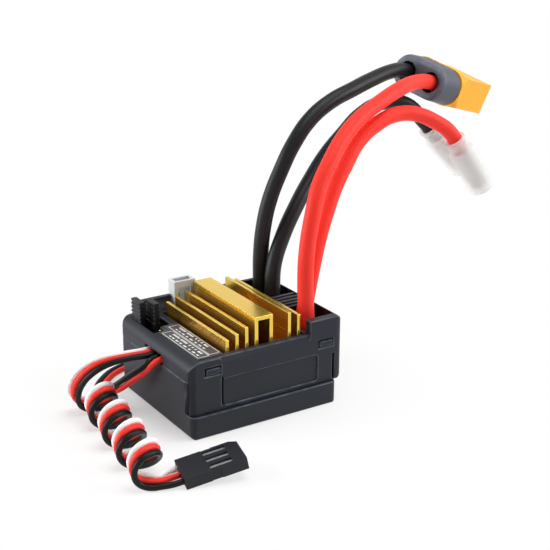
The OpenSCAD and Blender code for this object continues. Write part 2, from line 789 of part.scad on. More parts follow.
// Frame of the battery plug: X is the way it plugs in, Y goes across its poles
module at_plug() {
    translate(plug_pos)
        rotate([plug_roll, plug_droop, plug_turn])
            children();
}

// Upright outline turned to stand along X
module along_x(start, length) {
    translate([start, 0, 0])
        rotate([90, 0, 90])
            linear_extrude(length)
                children();
}

// Cap over the solder cups, with a hole for each wire
module battery_plug_cap() {
    shell = 0.8;
    color("#4a4d55")
        at_plug()
            difference() {
                along_x(0, cap_l)
                    round_rect([-plug_w / 2, -plug_t / 2], [plug_w / 2, plug_t / 2], plug_t / 2 - 0.1);
                for (side = [-1, 1])
                    translate([-1, side * pole_pitch / 2, 0])
                        rotate([0, 90, 0])
                            cylinder(d = cap_hole_d, h = cap_l);
                along_x(cup_x + 1.5, cap_l)
                    round_rect([-plug_w / 2 + shell, -plug_t / 2 + shell],
                        [plug_w / 2 - shell, plug_t / 2 - shell],
                        plug_t / 2 - shell - 0.1);
            }
}

// Outline of the battery plug's housing, with the two key corners cut at the back
module keyed(w, t, key) {
    polygon([[-w / 2, -t / 2], [w / 2 - key, -t / 2],
        [w / 2, -t / 2 + key], [w / 2, t / 2 - key], [w / 2 - key, t / 2],
        [-w / 2, t / 2]]);
}

// Housing of the battery plug: rounded flange that runs into the keyed shell, and the root in the cap
module battery_plug_housing() {
    key = 2.4;
    shell = 1;
    rim_l = 0.4;
    rim_out = 0.2;
    flange_l = 2.2;
    back_t = flange_l + 0.4;
    root_l = 3;
    housing_w = plug_w - 0.5;
    housing_t = plug_t - 1.2;
    color("#f2b01e")
        at_plug()
            difference() {
                union() {
                    hull() {
                        along_x(cap_l, rim_l)
                            round_rect([-plug_w / 2 - rim_out, -plug_t / 2 - rim_out],
                                [plug_w / 2 + rim_out, plug_t / 2 + rim_out], plug_t / 2 - 0.1);
                        along_x(cap_l + flange_l, rim_l)
                            keyed(housing_w, housing_t, key);
                    }
                    along_x(cap_l + flange_l, plug_l - flange_l)
                        keyed(housing_w, housing_t, key);
                    along_x(cap_l - root_l, root_l)
                        square([plug_w - 4, plug_t - 3], center = true);
                }
                along_x(cap_l + back_t, plug_l)
                    keyed(housing_w - 2 * shell, housing_t - 2 * shell, key);
                for (side = [-1, 1])
                    translate([cap_l - root_l - 1, side * pole_pitch / 2, 0])
                        rotate([0, 90, 0])
                            cylinder(d = plug_pin_d, h = plug_l);
            }
}

// Two pins of the battery plug with their solder cups
module battery_plug_pins() {
    color("#d8b456")
        at_plug()
            for (side = [-1, 1])
                translate([cup_x, side * pole_pitch / 2, 0])
                    rotate([0, 90, 0])
                        cylinder(d = plug_pin_d, h = cap_l + plug_l - cup_x - 1.2);
}

// Frame of a motor bullet: X is the way it plugs in
module at_bullet(pos, turn, droop) {
    translate(pos)
        rotate([0, droop, turn])
            children();
}

// Bullet socket with its solder end closed
module bullet() {
    wall_l = 2.5;
    color("#c9ccd1")
        translate([bullet_x, 0, 0])
            rotate([0, 90, 0])
                difference() {
                    cylinder(d = bullet_d, h = bullet_l);
                    translate([0, 0, wall_l])
                        cylinder(d = bullet_bore, h = bullet_l);
                }
}

// Clear sleeve: narrow at the wire with a bead round its mouth, wide over the bullet with a bevelled end
module sleeve() {
    neck_r = power_d / 2 + 0.15;
    neck_t = sleeve_t - 0.2;
    bead_t = neck_t + 0.25;
    bead_l = 0.7;
    body_r = bullet_d / 2 + clear;
    end_cut = 0.35;
    color("#e9ecef", 0.5)
        rotate([0, 90, 0])
            rotate_extrude()
                polygon([[neck_r, 0], [neck_r + bead_t, 0],
                    [neck_r + bead_t, bead_l], [neck_r + neck_t, bead_l],
                    [neck_r + neck_t, bullet_x - 0.6], [body_r + sleeve_t, bullet_x],
                    [body_r + sleeve_t, sleeve_l - end_cut],
                        [body_r + sleeve_t - end_cut, sleeve_l], [body_r, sleeve_l],
                    [body_r, bullet_x - clear], [neck_r, bullet_x - clear]]);
}

module motor_bullet_black() {
    at_bullet(black_bullet_pos, black_bullet_turn, black_bullet_droop)
        bullet();
}

module motor_bullet_red() {
    at_bullet(red_bullet_pos, red_bullet_turn, red_bullet_droop)
        bullet();
}

module motor_sleeve_black() {
    at_bullet(black_bullet_pos, black_bullet_turn, black_bullet_droop)
        sleeve();
}

module motor_sleeve_red() {
    at_bullet(red_bullet_pos, red_bullet_turn, red_bullet_droop)
        sleeve();
}

module servo_wire_white() {
    color("#ececec")
        tube(servo_route(-1), signal_d, 6);
}

module servo_wire_red() {
    color("#e8392f")
        tube(servo_route(0), signal_d, 6);
}

module servo_wire_black() {
    color("#1a1b1e")
        tube(servo_route(1), signal_d, 6);
}

// Frame of the servo plug: X is the way it plugs in
module at_servo() {
    translate(servo_pos)
        rotate([0, -servo_lift, servo_turn])
            children();
}

// Three-way servo plug: body with a waist and one cut corner, a channel for each contact and a window over it
module servo_plug() {
    step_x = 5.2;
    waist_l = 2;
    waist = 0.15;
    cut_x = 1.5;
    cut_y = 0.9;
    channel = 1.7;
    color("#1c1d20")
        at_servo()
            difference() {
                linear_extrude(servo_h)
                    difference() {
                        polygon([[0, -servo_w / 2], [servo_l, -servo_w / 2], [servo_l, servo_w / 2 - cut_y],
                            [servo_l - cut_x, servo_w / 2], [0, servo_w / 2]]);
                        for (side = [-1, 1])
                            translate([step_x + waist_l / 2, side * servo_w / 2])
                                square([waist_l, waist * 2], center = true);
                    }
                for (i = [-1 : 1]) {
                    block([-1, i * servo_pitch - channel / 2, servo_seat_z - channel / 2],
                        [servo_l - 1.2, i * servo_pitch + channel / 2, servo_seat_z + channel / 2]);
                    block([servo_l - 2, i * servo_pitch - 0.45, servo_seat_z - 0.45],
                        [servo_l + 1, i * servo_pitch + 0.45, servo_seat_z + 0.45]);
                    block([step_x + 0.1, i * servo_pitch - 0.75, servo_seat_z],
                        [step_x + 4.6, i * servo_pitch + 0.75, servo_h + 1]);
                }
            }
}

// Crimp contacts of the servo plug
module servo_contacts() {
    side = 1.5;
    color("#c9ccd1")
        at_servo()
            for (i = [-1 : 1])
                difference() {
                    block([contact_x, i * servo_pitch - side / 2, servo_seat_z - side / 2],
                        [servo_l - 1.6, i * servo_pitch + side / 2, servo_seat_z + side / 2]);
                    block([contact_x + 6, i * servo_pitch - 0.4, servo_seat_z - 0.4],
                        [servo_l, i * servo_pitch + 0.4, servo_seat_z + 0.4]);
                }
}

module switch_wire_black() {
    color("#1a1b1e")
        tube(strand(switch_lead, 1), signal_d, 8);
}

module switch_wire_red() {
    color("#e8392f")
        tube(strand(switch_lead, -1), signal_d, 8);
}

// Frame of the switch: X along its ears, Y out of its knob, origin at the back of the can
module at_switch() {
    translate([switch_x, switch_y, can_w / 2])
        children();
}

base_plate_t = 1;
face_t = 0.5;
can_t = 0.4;
knob_w = 3.4;
knob_h = 2;
knob_l = 3.4;
wiper_t = 0.4;

// Shrink tubes over the two wired terminals
module switch_sleeves() {
    color("#17181b")
        at_switch()
            for (x = [-terminal_pitch, 0])
                translate([x, sleeve_end_y - switch_y, 0])
                    rotate([-90, 0, 0])
                        difference() {
                            cylinder(d = signal_d + 0.9, h = switch_y - base_plate_t - sleeve_end_y - 0.3);
                            translate([0, 0, -1])
                                cylinder(d = signal_d + 0.2, h = switch_y);
                        }
}

// Three terminals behind the base plate
module switch_terminals() {
    color("#cfd2d6")
        at_switch()
            for (i = [-1 : 1])
                block([i * terminal_pitch - 0.4, wire_end_y - switch_y, -0.25],
                    [i * terminal_pitch + 0.4, -base_plate_t, 0.25]);
}

// Insulating base plate that closes the can
module switch_base() {
    color("#6b4a2e")
        at_switch()
            block([-can_l / 2, -base_plate_t, -can_w / 2 + 0.2], [can_l / 2, 0, can_w / 2 - 0.2]);
}

// Steel can with its face, its slot and two ears with screw holes
module switch_frame() {
    slot_l = knob_w + switch_travel + 2 * clear;
    color("#c2c6cb")
        at_switch()
            difference() {
                union() {
                    block([-can_l / 2, 0, -can_w / 2], [can_l / 2, can_h, can_w / 2]);
                    block([-ear_l / 2, can_h - face_t, -can_w / 2], [ear_l / 2, can_h, can_w / 2]);
                }
                block([-can_l / 2 + can_t, -1, -can_w / 2 + can_t],
                    [can_l / 2 - can_t, can_h - face_t, can_w / 2 - can_t]);
                block([-slot_l / 2, 0, -knob_h / 2 - clear], [slot_l / 2, can_h + 1, knob_h / 2 + clear]);
                for (x = [-ear_pitch / 2, ear_pitch / 2])
                    translate([x, can_h - face_t - 1, 0])
                        rotate([-90, 0, 0])
                            cylinder(d = ear_hole_d, h = face_t + 2);
            }
}

// Slider with its knob, resting at the off end of its travel
module switch_slider() {
    foot_l = knob_w + 2.2;
    color("#141518")
        at_switch()
            translate([-switch_travel / 2, 0, 0]) {
                block([-foot_l / 2, wiper_t + clear, -can_w / 2 + can_t + clear * 2],
                    [foot_l / 2, can_h - face_t - clear, can_w / 2 - can_t - clear * 2]);
                block([-knob_w / 2, can_h - face_t - clear, -knob_h / 2],
                    [knob_w / 2, can_h + knob_l, knob_h / 2]);
                for (i = [-1 : 1])
                    block([i * 1.1 - 0.25, can_h + knob_l, -knob_h / 2],
                        [i * 1.1 + 0.25, can_h + knob_l + 0.3, knob_h / 2]);
            }
}

// Contact strip carried by the slider
module switch_wiper() {
    wiper_l = 4.4;
    wiper_w = 2.4;
    color("#cfae5a")
        at_switch()
            translate([-switch_travel / 2, 0, 0])
                block([-wiper_l / 2, clear, -wiper_w / 2], [wiper_l / 2, wiper_t + clear, wiper_w / 2]);
}

lower_case();
upper_cover();
heat_sink();
thermal_pad();
circuit_board();
power_transistors();
microcontroller();
voltage_regulator();
filter_capacitors();
solder_lugs();
jumper_base();
jumper_pins();
battery_jumper();
brake_jumper();
fan_socket();
fan_pins();
setting_label();
wire_comb();
lead_grommet();
battery_wire_black();
battery_wire_red();
motor_wire_black();
motor_wire_red();
battery_plug_cap();
battery_plug_housing();
battery_plug_pins();
motor_bullet_black();
motor_bullet_red();
motor_sleeve_black();
motor_sleeve_red();
servo_wire_white();
servo_wire_red();
servo_wire_black();
servo_plug();
servo_contacts();
switch_wire_black();
switch_wire_red();
switch_sleeves();
switch_terminals();
switch_base();
switch_frame();
switch_slider();
switch_wiper();
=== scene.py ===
"""Looks of a brushed motor speed controller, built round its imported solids.

The solids give every size and place. The pieces here round their edges, wind the wires,
print the label and give each finish its grain. All routes are in millimetres.
"""
import math

import bmesh
import bpy
from bpy.props import FloatProperty, FloatVectorProperty, IntProperty, PointerProperty
from mathutils import Matrix, Vector
from mathutils.geometry import intersect_point_line


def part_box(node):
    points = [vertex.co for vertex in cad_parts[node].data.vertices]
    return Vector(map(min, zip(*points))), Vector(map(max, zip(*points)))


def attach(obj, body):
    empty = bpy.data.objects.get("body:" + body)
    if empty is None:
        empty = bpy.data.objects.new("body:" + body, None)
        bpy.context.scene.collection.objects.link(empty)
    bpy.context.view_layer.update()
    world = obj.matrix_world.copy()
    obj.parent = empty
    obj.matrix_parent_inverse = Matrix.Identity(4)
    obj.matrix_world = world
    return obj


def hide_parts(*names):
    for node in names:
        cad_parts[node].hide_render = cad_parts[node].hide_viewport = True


bl_info = {
    "name": "Speed Controller Looks",
    "version": (1, 0, 0),
    "blender": (4, 5, 0),
    "location": "View3D > Sidebar > Controller",
    "description": "Builds the wires, rounded pieces, finishes and studio of a speed controller",
    "category": "Object",
}

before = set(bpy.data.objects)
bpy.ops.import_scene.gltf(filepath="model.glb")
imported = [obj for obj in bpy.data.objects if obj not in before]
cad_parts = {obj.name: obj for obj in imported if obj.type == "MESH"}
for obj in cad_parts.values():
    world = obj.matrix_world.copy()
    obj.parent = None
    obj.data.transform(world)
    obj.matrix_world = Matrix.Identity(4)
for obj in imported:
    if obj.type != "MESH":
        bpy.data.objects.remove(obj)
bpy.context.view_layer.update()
MM = 0.001

# Body that carries the pieces, apart from those whose solids move by themselves
BODY = "controller"
MOVING = {
    "battery_jumper": "battery_cap",
    "brake_jumper": "brake_cap",
    "switch_slider": "switch_knob",
    "switch_wiper": "switch_knob",
}

# Turn of an edge above which it is rounded, and below which it lies in a flat face
SHARP = math.radians(33)
FLAT = math.radians(2)
# Distance within which points are joined, and turn up to which faces are
WELD = 1e-6
JOIN = math.radians(1)
# Cosine above which something lies straight across a face from an edge
ACROSS = 0.7
# Fineness of a wire round its section and along its route
WIRE_ROUND = 5
WIRE_STEPS = 6


# Routes of the wires and places of the plugs

def aim(turn, droop):
    """Direction of the X axis after a turn about Z and a droop, in degrees."""
    t, d = math.radians(turn), math.radians(droop)
    return Vector((math.cos(d) * math.cos(t), math.cos(d) * math.sin(t), -math.sin(d)))


def turned(place, turn, droop, roll=0.0):
    """Matrix in metres of a plug whose X axis is the way it plugs in."""
    return (Matrix.Translation(Vector(place) * MM)
            @ Matrix.Rotation(math.radians(turn), 4, "Z")
            @ Matrix.Rotation(math.radians(droop), 4, "Y")
            @ Matrix.Rotation(math.radians(roll), 4, "X"))


# Places and angles in degrees of the battery plug, the motor bullets and the servo plug
PLUG_PLACE, PLUG_TURN, PLUG_DROOP, PLUG_ROLL = (62, 17, 60), 18, 16, 15
POLE_PITCH = 7.2
RED_BULLET = ((61, 1.8, 48.2), -6, 55)
BLACK_BULLET = ((62.8, 13.2, 48.5), -6, 46)
SERVO_TURN, SERVO_LIFT, SERVO_H = -14, 11.5, 2.5
SERVO_PITCH = 2.54
# How far a wire runs into a solder cup, a bullet and a contact, and straight before them
CUP_X, BULLET_X, CONTACT_X = 2.5, 3.5, 0.8
STRAIGHT, SERVO_STRAIGHT = 2, 0.8
# Height of the solder lugs, the upright start of a wire on them, and height of the rim
LUG_Z, LUG_RISE, RIM_Z = 10.6, 3.5, 20.0
plug_frame = turned(PLUG_PLACE, PLUG_TURN, PLUG_DROOP, PLUG_ROLL)


def run_in(entry, direction, depth):
    """Last two points of a wire that runs straight into a fitting."""
    entry = Vector(entry)
    return [entry - STRAIGHT * direction, entry + depth * direction]


def pole(side):
    """Middle of a wire hole in the battery plug's cap, 1 at the back and -1 at the front."""
    return plug_frame @ Vector((0, side * POLE_PITCH / 2 * MM, 0)) / MM


def power_route(lug, lean, points, end):
    """Power wire from its solder lug up through the bay, along its points, into its fitting."""
    x, y = lug
    start = [(x, y, LUG_Z), (x, y, LUG_Z + LUG_RISE), (x + lean[0], y + lean[1], RIM_Z)]
    return start + points + end


plug_dir = aim(PLUG_TURN, PLUG_DROOP)
POWER_ROUTES = {
    "battery_wire_black": power_route((12.8, 8.8), (0.2, 0.2), [
        (13.1, 9, 27), (13.8, 9, 33), (15.4, 9, 39), (18.2, 9, 45), (22, 9.5, 50.7),
        (27, 10.5, 55.3), (33, 11.5, 58.3), (40, 13, 60), (47.5, 15.5, 61.2), (54.5, 18, 61.8)],
        run_in(pole(1), plug_dir, CUP_X)),
    "battery_wire_red": power_route((12.5, -10.7), (0, 0.7), [
        (12.8, -9.2, 25), (13.5, -8.5, 32), (16, -7, 40), (18.5, -5.5, 45), (22, -4, 49),
        (27, -1.5, 53), (33, 1, 56.2), (41, 4, 58.6), (49, 7.5, 60), (56, 11, 60.2)],
        run_in(pole(-1), plug_dir, CUP_X)),
    "motor_wire_red": power_route((13.3, -7.1), (1.5, 0.6), [
        (16.8, -5.8, 27), (19.2, -4.6, 33), (22, -3.2, 38), (25.5, -1.5, 43), (29.2, 0, 47),
        (34, 2, 51.2), (39.5, 3, 54), (45, 3.5, 55.4), (50.5, 3.2, 55), (56, 2.5, 52.6)],
        run_in(RED_BULLET[0], aim(*RED_BULLET[1:]), BULLET_X)),
    "motor_wire_black": power_route((13.2, 4.6), (0.4, 0.4), [
        (14.3, 5.5, 25), (17.2, 6.7, 30.5), (22, 8.5, 36.5), (27.5, 11, 41.3), (32.7, 12.8, 45.7),
        (38.7, 14.3, 49.8), (44.5, 15.6, 53.3), (51, 16, 55.2), (57, 14.9, 54.4)],
        run_in(BLACK_BULLET[0], aim(*BLACK_BULLET[1:]), BULLET_X)),
}

# Wires of the servo lead and of the switch lead, in steps from the lead's middle
SERVO_WIRES = ((-1, "white"), (0, "red"), (1, "black"))
SWITCH_WIRES = ((1, "black"), (-1, "red"))

# Servo lead: middle wire, then the step to the next wire
GROMMET_X = -17.8
SERVO_LEAD = [
    ((GROMMET_X, 2, 13), (0, -1.4, 0)), ((-19.7, 2, 13), (0, -1.4, 0)),
    ((-24, 2.6, 13), (0.1, -1.4, 0)), ((-28.2, 3.7, 12.4), (0.2, -1.4, -0.2)),
    ((-31.3, 5, 10.7), (0.35, -1.4, -0.35)), ((-33.1, 6.3, 8.2), (0.5, -1.35, -0.3)),
    ((-33.6, 7.4, 5.6), (0.5, -1.25, -0.4)), ((-33, 8.2, 3.5), (0.25, -1.3, -0.55)),
    ((-31.4, 8.5, 1.9), (0, -1.3, -0.65))]
# Curls: they advance along one direction, lean towards it, and set their wires side by side
# across the lean
CURL_TURN, CURL_LEAN = math.radians(8), 0.55
CURL_R, CURL_PITCH, CURLS, CURL_POINTS = 3.2, 9.1, 4, 14
# Distance between the wires in the curls, and height of the lowest
CURL_GAP, CURL_LOW = 1.4, 0.65
CURL_DIR = Vector((-math.sin(CURL_TURN), -math.cos(CURL_TURN), 0))
CURL_SIDE = Vector((math.cos(CURL_TURN), -math.sin(CURL_TURN), 0))
CURL_UP = CURL_LEAN * CURL_DIR + Vector((0, 0, 1))
CURL_STEP = CURL_GAP * (CURL_DIR - Vector((0, 0, CURL_LEAN))).normalized()
CURL_START = Vector((-29.1, 8.2, CURL_LOW - CURL_STEP.z))
CURL_END = CURL_START + CURLS * CURL_PITCH * CURL_DIR
# From the end of the curls into the servo plug
SERVO_AWAY = (6.37, -0.66)
SERVO_PLACE = (CURL_END.x + SERVO_AWAY[0], CURL_END.y + SERVO_AWAY[1], 0)
SERVO_TAIL = [
    (CURL_END + Vector((1.65, -0.62, -0.15)), (-0.1, -1.28, -0.45)),
    (CURL_END + Vector((3.6, -0.45, -0.3)), (-0.3, -2.1, -0.15))]
servo_frame = turned(SERVO_PLACE, SERVO_TURN, -SERVO_LIFT)

# Switch lead: middle of the pair, then the step from there to the black wire
SWITCH_LEAD = [
    ((GROMMET_X, -1.8, 13), (0, 0.7, 0)), ((-19.3, -1.8, 12.75), (0.03, 0.67, 0.12)),
    ((-20.4, 0.5, 10.2), (-0.1, 0.45, 0.45)), ((-21.9, 4.6, 6.8), (-0.2, 0.2, 0.62)),
    ((-23.5, 8.6, 3.35), (-0.35, 0.05, 0.58)), ((-24.2, 11.7, 1.55), (-0.65, 0, 0.25)),
    ((-24.1, 15.5, 0.7), (-0.7, 0.2, 0)), ((-21.2, 19.2, 0.7), (-0.5, 0.5, 0)),
    ((-16.7, 22.4, 0.7), (-0.3, 0.65, 0)), ((-11, 23.6, 0.7), (-0.1, 0.7, 0)),
    ((-4.5, 23.4, 0.7), (0, 0.7, 0)), ((2, 22.6, 0.7), (0, 0.7, 0)),
    ((8.5, 22, 0.7), (-0.1, 0.75, 0)), ((12.5, 22.6, 1.2), (-0.5, 0.9, 0)),
    ((15, 24.4, 2.4), (-1.2, 0.5, 0)), ((15.5, 26.5, 3), (-1.5, 0, 0)),
    ((15.5, 28.2, 3), (-1.5, 0, 0))]


def servo_entry(x, k):
    """Point of servo wire k on the axis of its contact, x along the plug."""
    return servo_frame @ (Vector((x, -k * SERVO_PITCH, SERVO_H / 2)) * MM) / MM


def strand(lead, k):
    """One wire of a lead, k steps from its middle."""
    return [Vector(p) + k * Vector(step) for p, step in lead]


def servo_route(k):
    """Servo wire k: out of its slot, round the curls and into the plug."""
    curls = []
    for i in range(CURLS * CURL_POINTS + 1):
        turn = i / CURL_POINTS
        phase = 2 * math.pi * turn - math.pi / 2
        curls.append(CURL_START + CURL_PITCH * turn * CURL_DIR + k * CURL_STEP
                     + CURL_R * (math.cos(phase) * CURL_SIDE + (1 + math.sin(phase)) * CURL_UP))
    end = [servo_entry(-SERVO_STRAIGHT, k), servo_entry(CONTACT_X, k)]
    return strand(SERVO_LEAD, k) + curls + strand(SERVO_TAIL, k) + end


# Settings a user would change

def colour(name, description, default):
    """A colour setting."""
    return FloatVectorProperty(name=name, description=description, subtype="COLOR", size=3,
                               min=0, max=1, default=default)


def length(name, description, default):
    """A length setting in metres."""
    return FloatProperty(name=name, description=description, unit="LENGTH", subtype="DISTANCE",
                         min=0, default=default, precision=5)


def angle(name, description, degrees):
    """An angle setting, given in degrees."""
    return FloatProperty(name=name, description=description, subtype="ANGLE",
                         default=math.radians(degrees))


class ControllerColours(bpy.types.PropertyGroup):
    """Colours of the finishes."""

    case: colour("Case", "Moulded tub, cover and comb", (0.0215, 0.0250, 0.0325))
    sink: colour("Heat sink", "Gold anodised aluminium", (0.87, 0.59, 0.085))
    # Painted shade: colour laid on the fins' sides and the floor between them, where shade falls
    fin_shade: colour("Painted fin shade", "Painted shade on the sides of the fins and the floor between them",
                  (0.47, 0.215, 0.036))
    jumper: colour("Jumpers", "Jumper caps and header bases", (0.010, 0.0105, 0.013))
    socket: colour("Fan socket", "Milky nylon", (0.80, 0.83, 0.84))
    label: colour("Label", "Film of the settings label", (0.034, 0.035, 0.038))
    label_ink: colour("Label ink", "Pale marks on the label", (0.90, 0.90, 0.88))
    red: colour("Red silicone", "Red power wires", (0.95, 0.042, 0.027))
    black: colour("Black silicone", "Black power wires", (0.009, 0.010, 0.012))
    cap: colour("Plug cap", "Cap over the battery plug's solder cups", (0.085, 0.093, 0.119))
    plug: colour("Battery plug", "Yellow orange nylon housing", (1.0, 0.435, 0.013))
    sleeve: colour("Sleeves", "Clear sleeves of the motor sockets", (0.89, 0.87, 0.85))
    signal_white: colour("White signal wire", "White vinyl", (0.97, 0.965, 0.965))
    signal_red: colour("Red signal wire", "Red vinyl", (0.92, 0.042, 0.027))
    signal_black: colour("Black signal wire", "Black vinyl", (0.006, 0.006, 0.007))
    servo: colour("Servo plug", "Black plug plastic", (0.015, 0.017, 0.022))
    gold: colour("Gold plating", "Pins and contacts", (0.88, 0.66, 0.28))
    tin: colour("Tin plating", "Crimps, solder and terminals", (0.82, 0.83, 0.85))
    steel: colour("Switch can", "Nickel plated steel", (0.62, 0.63, 0.65))
    board: colour("Circuit board", "Green solder mask", (0.012, 0.085, 0.035))
    phenolic: colour("Switch board", "Brown insulating board", (0.22, 0.11, 0.05))
    pad: colour("Thermal pad", "Grey silicone", (0.34, 0.36, 0.39))
    rubber: colour("Grommet", "Black rubber and shrink tube", (0.007, 0.007, 0.0075))


class ControllerSizes(bpy.types.PropertyGroup):
    """Sizes that the looks add to the solids."""

    power_d: length("Power wire", "Outside diameter of a power wire", 0.0035)
    signal_d: length("Signal wire", "Outside diameter of a signal wire", 0.00125)
    case_edge: length("Case edges", "Radius on the edges of the tub and the cover", 0.00024)
    fin_edge: length("Fin edges", "Radius on the fins", 0.00010)
    small_edge: length("Small edges", "Radius on jumpers, sockets and plugs", 0.00014)
    cap_edge: length("Plug cap edge", "Radius round the cap's wire side", 0.0011)
    edge_steps: IntProperty(name="Edge steps", description="Faces across a rounded edge",
                            min=1, max=6, default=3)


class StudioSettings(bpy.types.PropertyGroup):
    """Camera, lamps and floor."""

    camera_place: FloatVectorProperty(
        name="Camera", description="Place of the camera", subtype="TRANSLATION", unit="LENGTH",
        default=(-0.12526, -0.213446, 0.116638))
    camera_turn: angle("Camera turn", "Turn of the view about Z", -32.57)
    camera_fall: angle("Camera fall", "How far the view looks down", 19.90)
    camera_roll: angle("Camera roll", "Roll about the view", 0.18)
    lens: FloatProperty(name="Lens", description="Focal length in millimetres", unit="CAMERA",
                        default=81.82)
    ambient: FloatProperty(name="Ambient light", min=0, default=0.36,
                           description="Strength of the light from all round")
    floor_glow: FloatProperty(name="Floor white", subtype="FACTOR", min=0, max=1, default=0.36,
                              description="Share of plain white in the floor round the part")
    floor: colour("Floor", "Colour of the floor", (0.92, 0.92, 0.915))


def sizes():
    return bpy.context.scene.controller_sizes


# Shader nodes

WHITE = (1, 1, 1, 1)


def empty_tree(owner):
    """Node tree of a material or world, with nothing in it."""
    owner.use_nodes = True
    owner.node_tree.nodes.clear()
    return owner.node_tree


def node(tree, kind, links=None, **values):
    """Adds a shader node, sets its plain values and links its sockets."""
    made = tree.nodes.new(kind)
    for key, value in values.items():
        setattr(made, key, value)
    for key, source in (links or {}).items():
        if isinstance(source, bpy.types.NodeSocket):
            tree.links.new(source, made.inputs[key])
        else:
            made.inputs[key].default_value = source
    return made


def blend(tree, share, first, second):
    """Blend of two values."""
    return node(tree, "ShaderNodeMix", {0: share, 2: first, 3: second}).outputs[0]


def blend_colours(tree, share, first, second):
    """Blend of two colours."""
    links = {0: share, 6: first, 7: second}
    return node(tree, "ShaderNodeMix", links, data_type="RGBA").outputs[2]


def maths(tree, operation, first, second):
    """Result of an operation on two values."""
    return node(tree, "ShaderNodeMath", {0: first, 1: second}, operation=operation).outputs[0]


def noise(tree, place, scale, detail):
    """Value of a noise at a place."""
    links = {"Vector": place, "Scale": scale, "Detail": detail}
    return node(tree, "ShaderNodeTexNoise", links).outputs[0]


def spread(tree, value, source, target=(0.0, 1.0)):
    """Value taken from one range to another."""
    return node(tree, "ShaderNodeMapRange", {
        "Value": value, "From Min": source[0], "From Max": source[1],
        "To Min": target[0], "To Max": target[1]}).outputs[0]


def place_on_object(tree):
    """Place of a shaded point on its own object."""
    return node(tree, "ShaderNodeTexCoord").outputs["Object"]


# Finishes

# Share of the finest detail in the gloss of a moulded skin and in the tone of drawn metal
GRAIN_SHARE = 0.35
LINES_SHARE = 0.5
# Values of the noise between which a painted edge highlight shows
HIGHLIGHT_PATCHES = (0.24, 0.60)
# Brightness of a painted edge highlight, in times the base colour
HIGHLIGHT_GAIN = 4.2
# Values of the noise that the gloss follows, and how far roughness goes either way
GLOSS_RANGE = (0.25, 0.75)
GLOSS_REACH = 0.07


def new_group(name, inputs, outputs):
    """Empty shader node group with float or vector inputs and float outputs."""
    tree = bpy.data.node_groups.new(name, "ShaderNodeTree")
    for socket, kind, default in inputs:
        made = tree.interface.new_socket(name=socket, in_out="INPUT", socket_type=kind)
        made.default_value = default
    for socket in outputs:
        tree.interface.new_socket(name=socket, in_out="OUTPUT", socket_type="NodeSocketFloat")
    return tree, tree.nodes.new("NodeGroupInput"), tree.nodes.new("NodeGroupOutput")


def grain_group():
    """Moulded or rubbery skin: a slow drift of tone, and a fine grain for the bump."""
    tree, ins, outs = new_group(
        "Surface grain",
        [("Fine", "NodeSocketFloat", 3000.0), ("Broad", "NodeSocketFloat", 120.0)],
        ["Tone", "Gloss", "Height"])
    place = place_on_object(tree)
    broad = noise(tree, place, ins.outputs["Broad"], 3.0)
    fine = noise(tree, place, ins.outputs["Fine"], 2.0)
    tree.links.new(broad, outs.inputs["Tone"])
    tree.links.new(blend(tree, GRAIN_SHARE, broad, fine), outs.inputs["Gloss"])
    tree.links.new(fine, outs.inputs["Height"])


def drawn_group():
    """Drawn or extruded metal: fine lines along one axis over a slow drift of tone."""
    tree, ins, outs = new_group(
        "Drawn lines",
        [("Stretch", "NodeSocketVector", (2600.0, 60.0, 2600.0)),
         ("Broad", "NodeSocketFloat", 160.0)],
        ["Tone", "Gloss", "Height"])
    place = place_on_object(tree)
    long = node(tree, "ShaderNodeMapping", {"Vector": place, "Scale": ins.outputs["Stretch"]})
    lines = noise(tree, long.outputs[0], 1.0, 3.0)
    broad = noise(tree, place, ins.outputs["Broad"], 2.0)
    tree.links.new(blend(tree, LINES_SHARE, broad, lines), outs.inputs["Tone"])
    tree.links.new(lines, outs.inputs["Gloss"])
    tree.links.new(lines, outs.inputs["Height"])


def edge_highlight_group():
    """Mask of the rounded edges that get a painted highlight, broken up by noise."""
    tree, ins, outs = new_group(
        "Painted edge highlights", [("Patches", "NodeSocketFloat", 500.0)], ["Mask"])
    edge = node(tree, "ShaderNodeAttribute", attribute_name="edge").outputs["Fac"]
    patches = noise(tree, place_on_object(tree), ins.outputs["Patches"], 3.0)
    mask = maths(tree, "MULTIPLY", edge, spread(tree, patches, HIGHLIGHT_PATCHES))
    tree.links.new(mask, outs.inputs["Mask"])


def plastic(colour_name, roughness, fine=0.3, broad=8.0, depth=0.010, tone=0.16, edge_highlight=0.0,
            **shader):
    """Plan of a moulded or rubbery finish. Lengths are in millimetres."""
    return dict(
        colour=colour_name, roughness=roughness, tone=tone, depth=depth, edge_highlight=edge_highlight, shader=shader,
        group="Surface grain", inputs={"Fine": 1 / (fine * MM), "Broad": 1 / (broad * MM)})


def metal(colour_name, roughness, lines=(0.4, 14.0, 0.4), broad=6.0, depth=0.004, tone=0.10,
          edge_highlight=0.0, fin_shade=None, metallic=1.0):
    """Plan of a metal finish with lines drawn along its longest stretch.

    Where it has painted shade between its fins, the colour of that shade is named too.
    """
    return dict(
        colour=colour_name, roughness=roughness, tone=tone, depth=depth, edge_highlight=edge_highlight,
        shader={"Metallic": metallic}, group="Drawn lines", fin_shade=fin_shade,
        inputs={"Stretch": tuple(1 / (v * MM) for v in lines), "Broad": 1 / (broad * MM)})


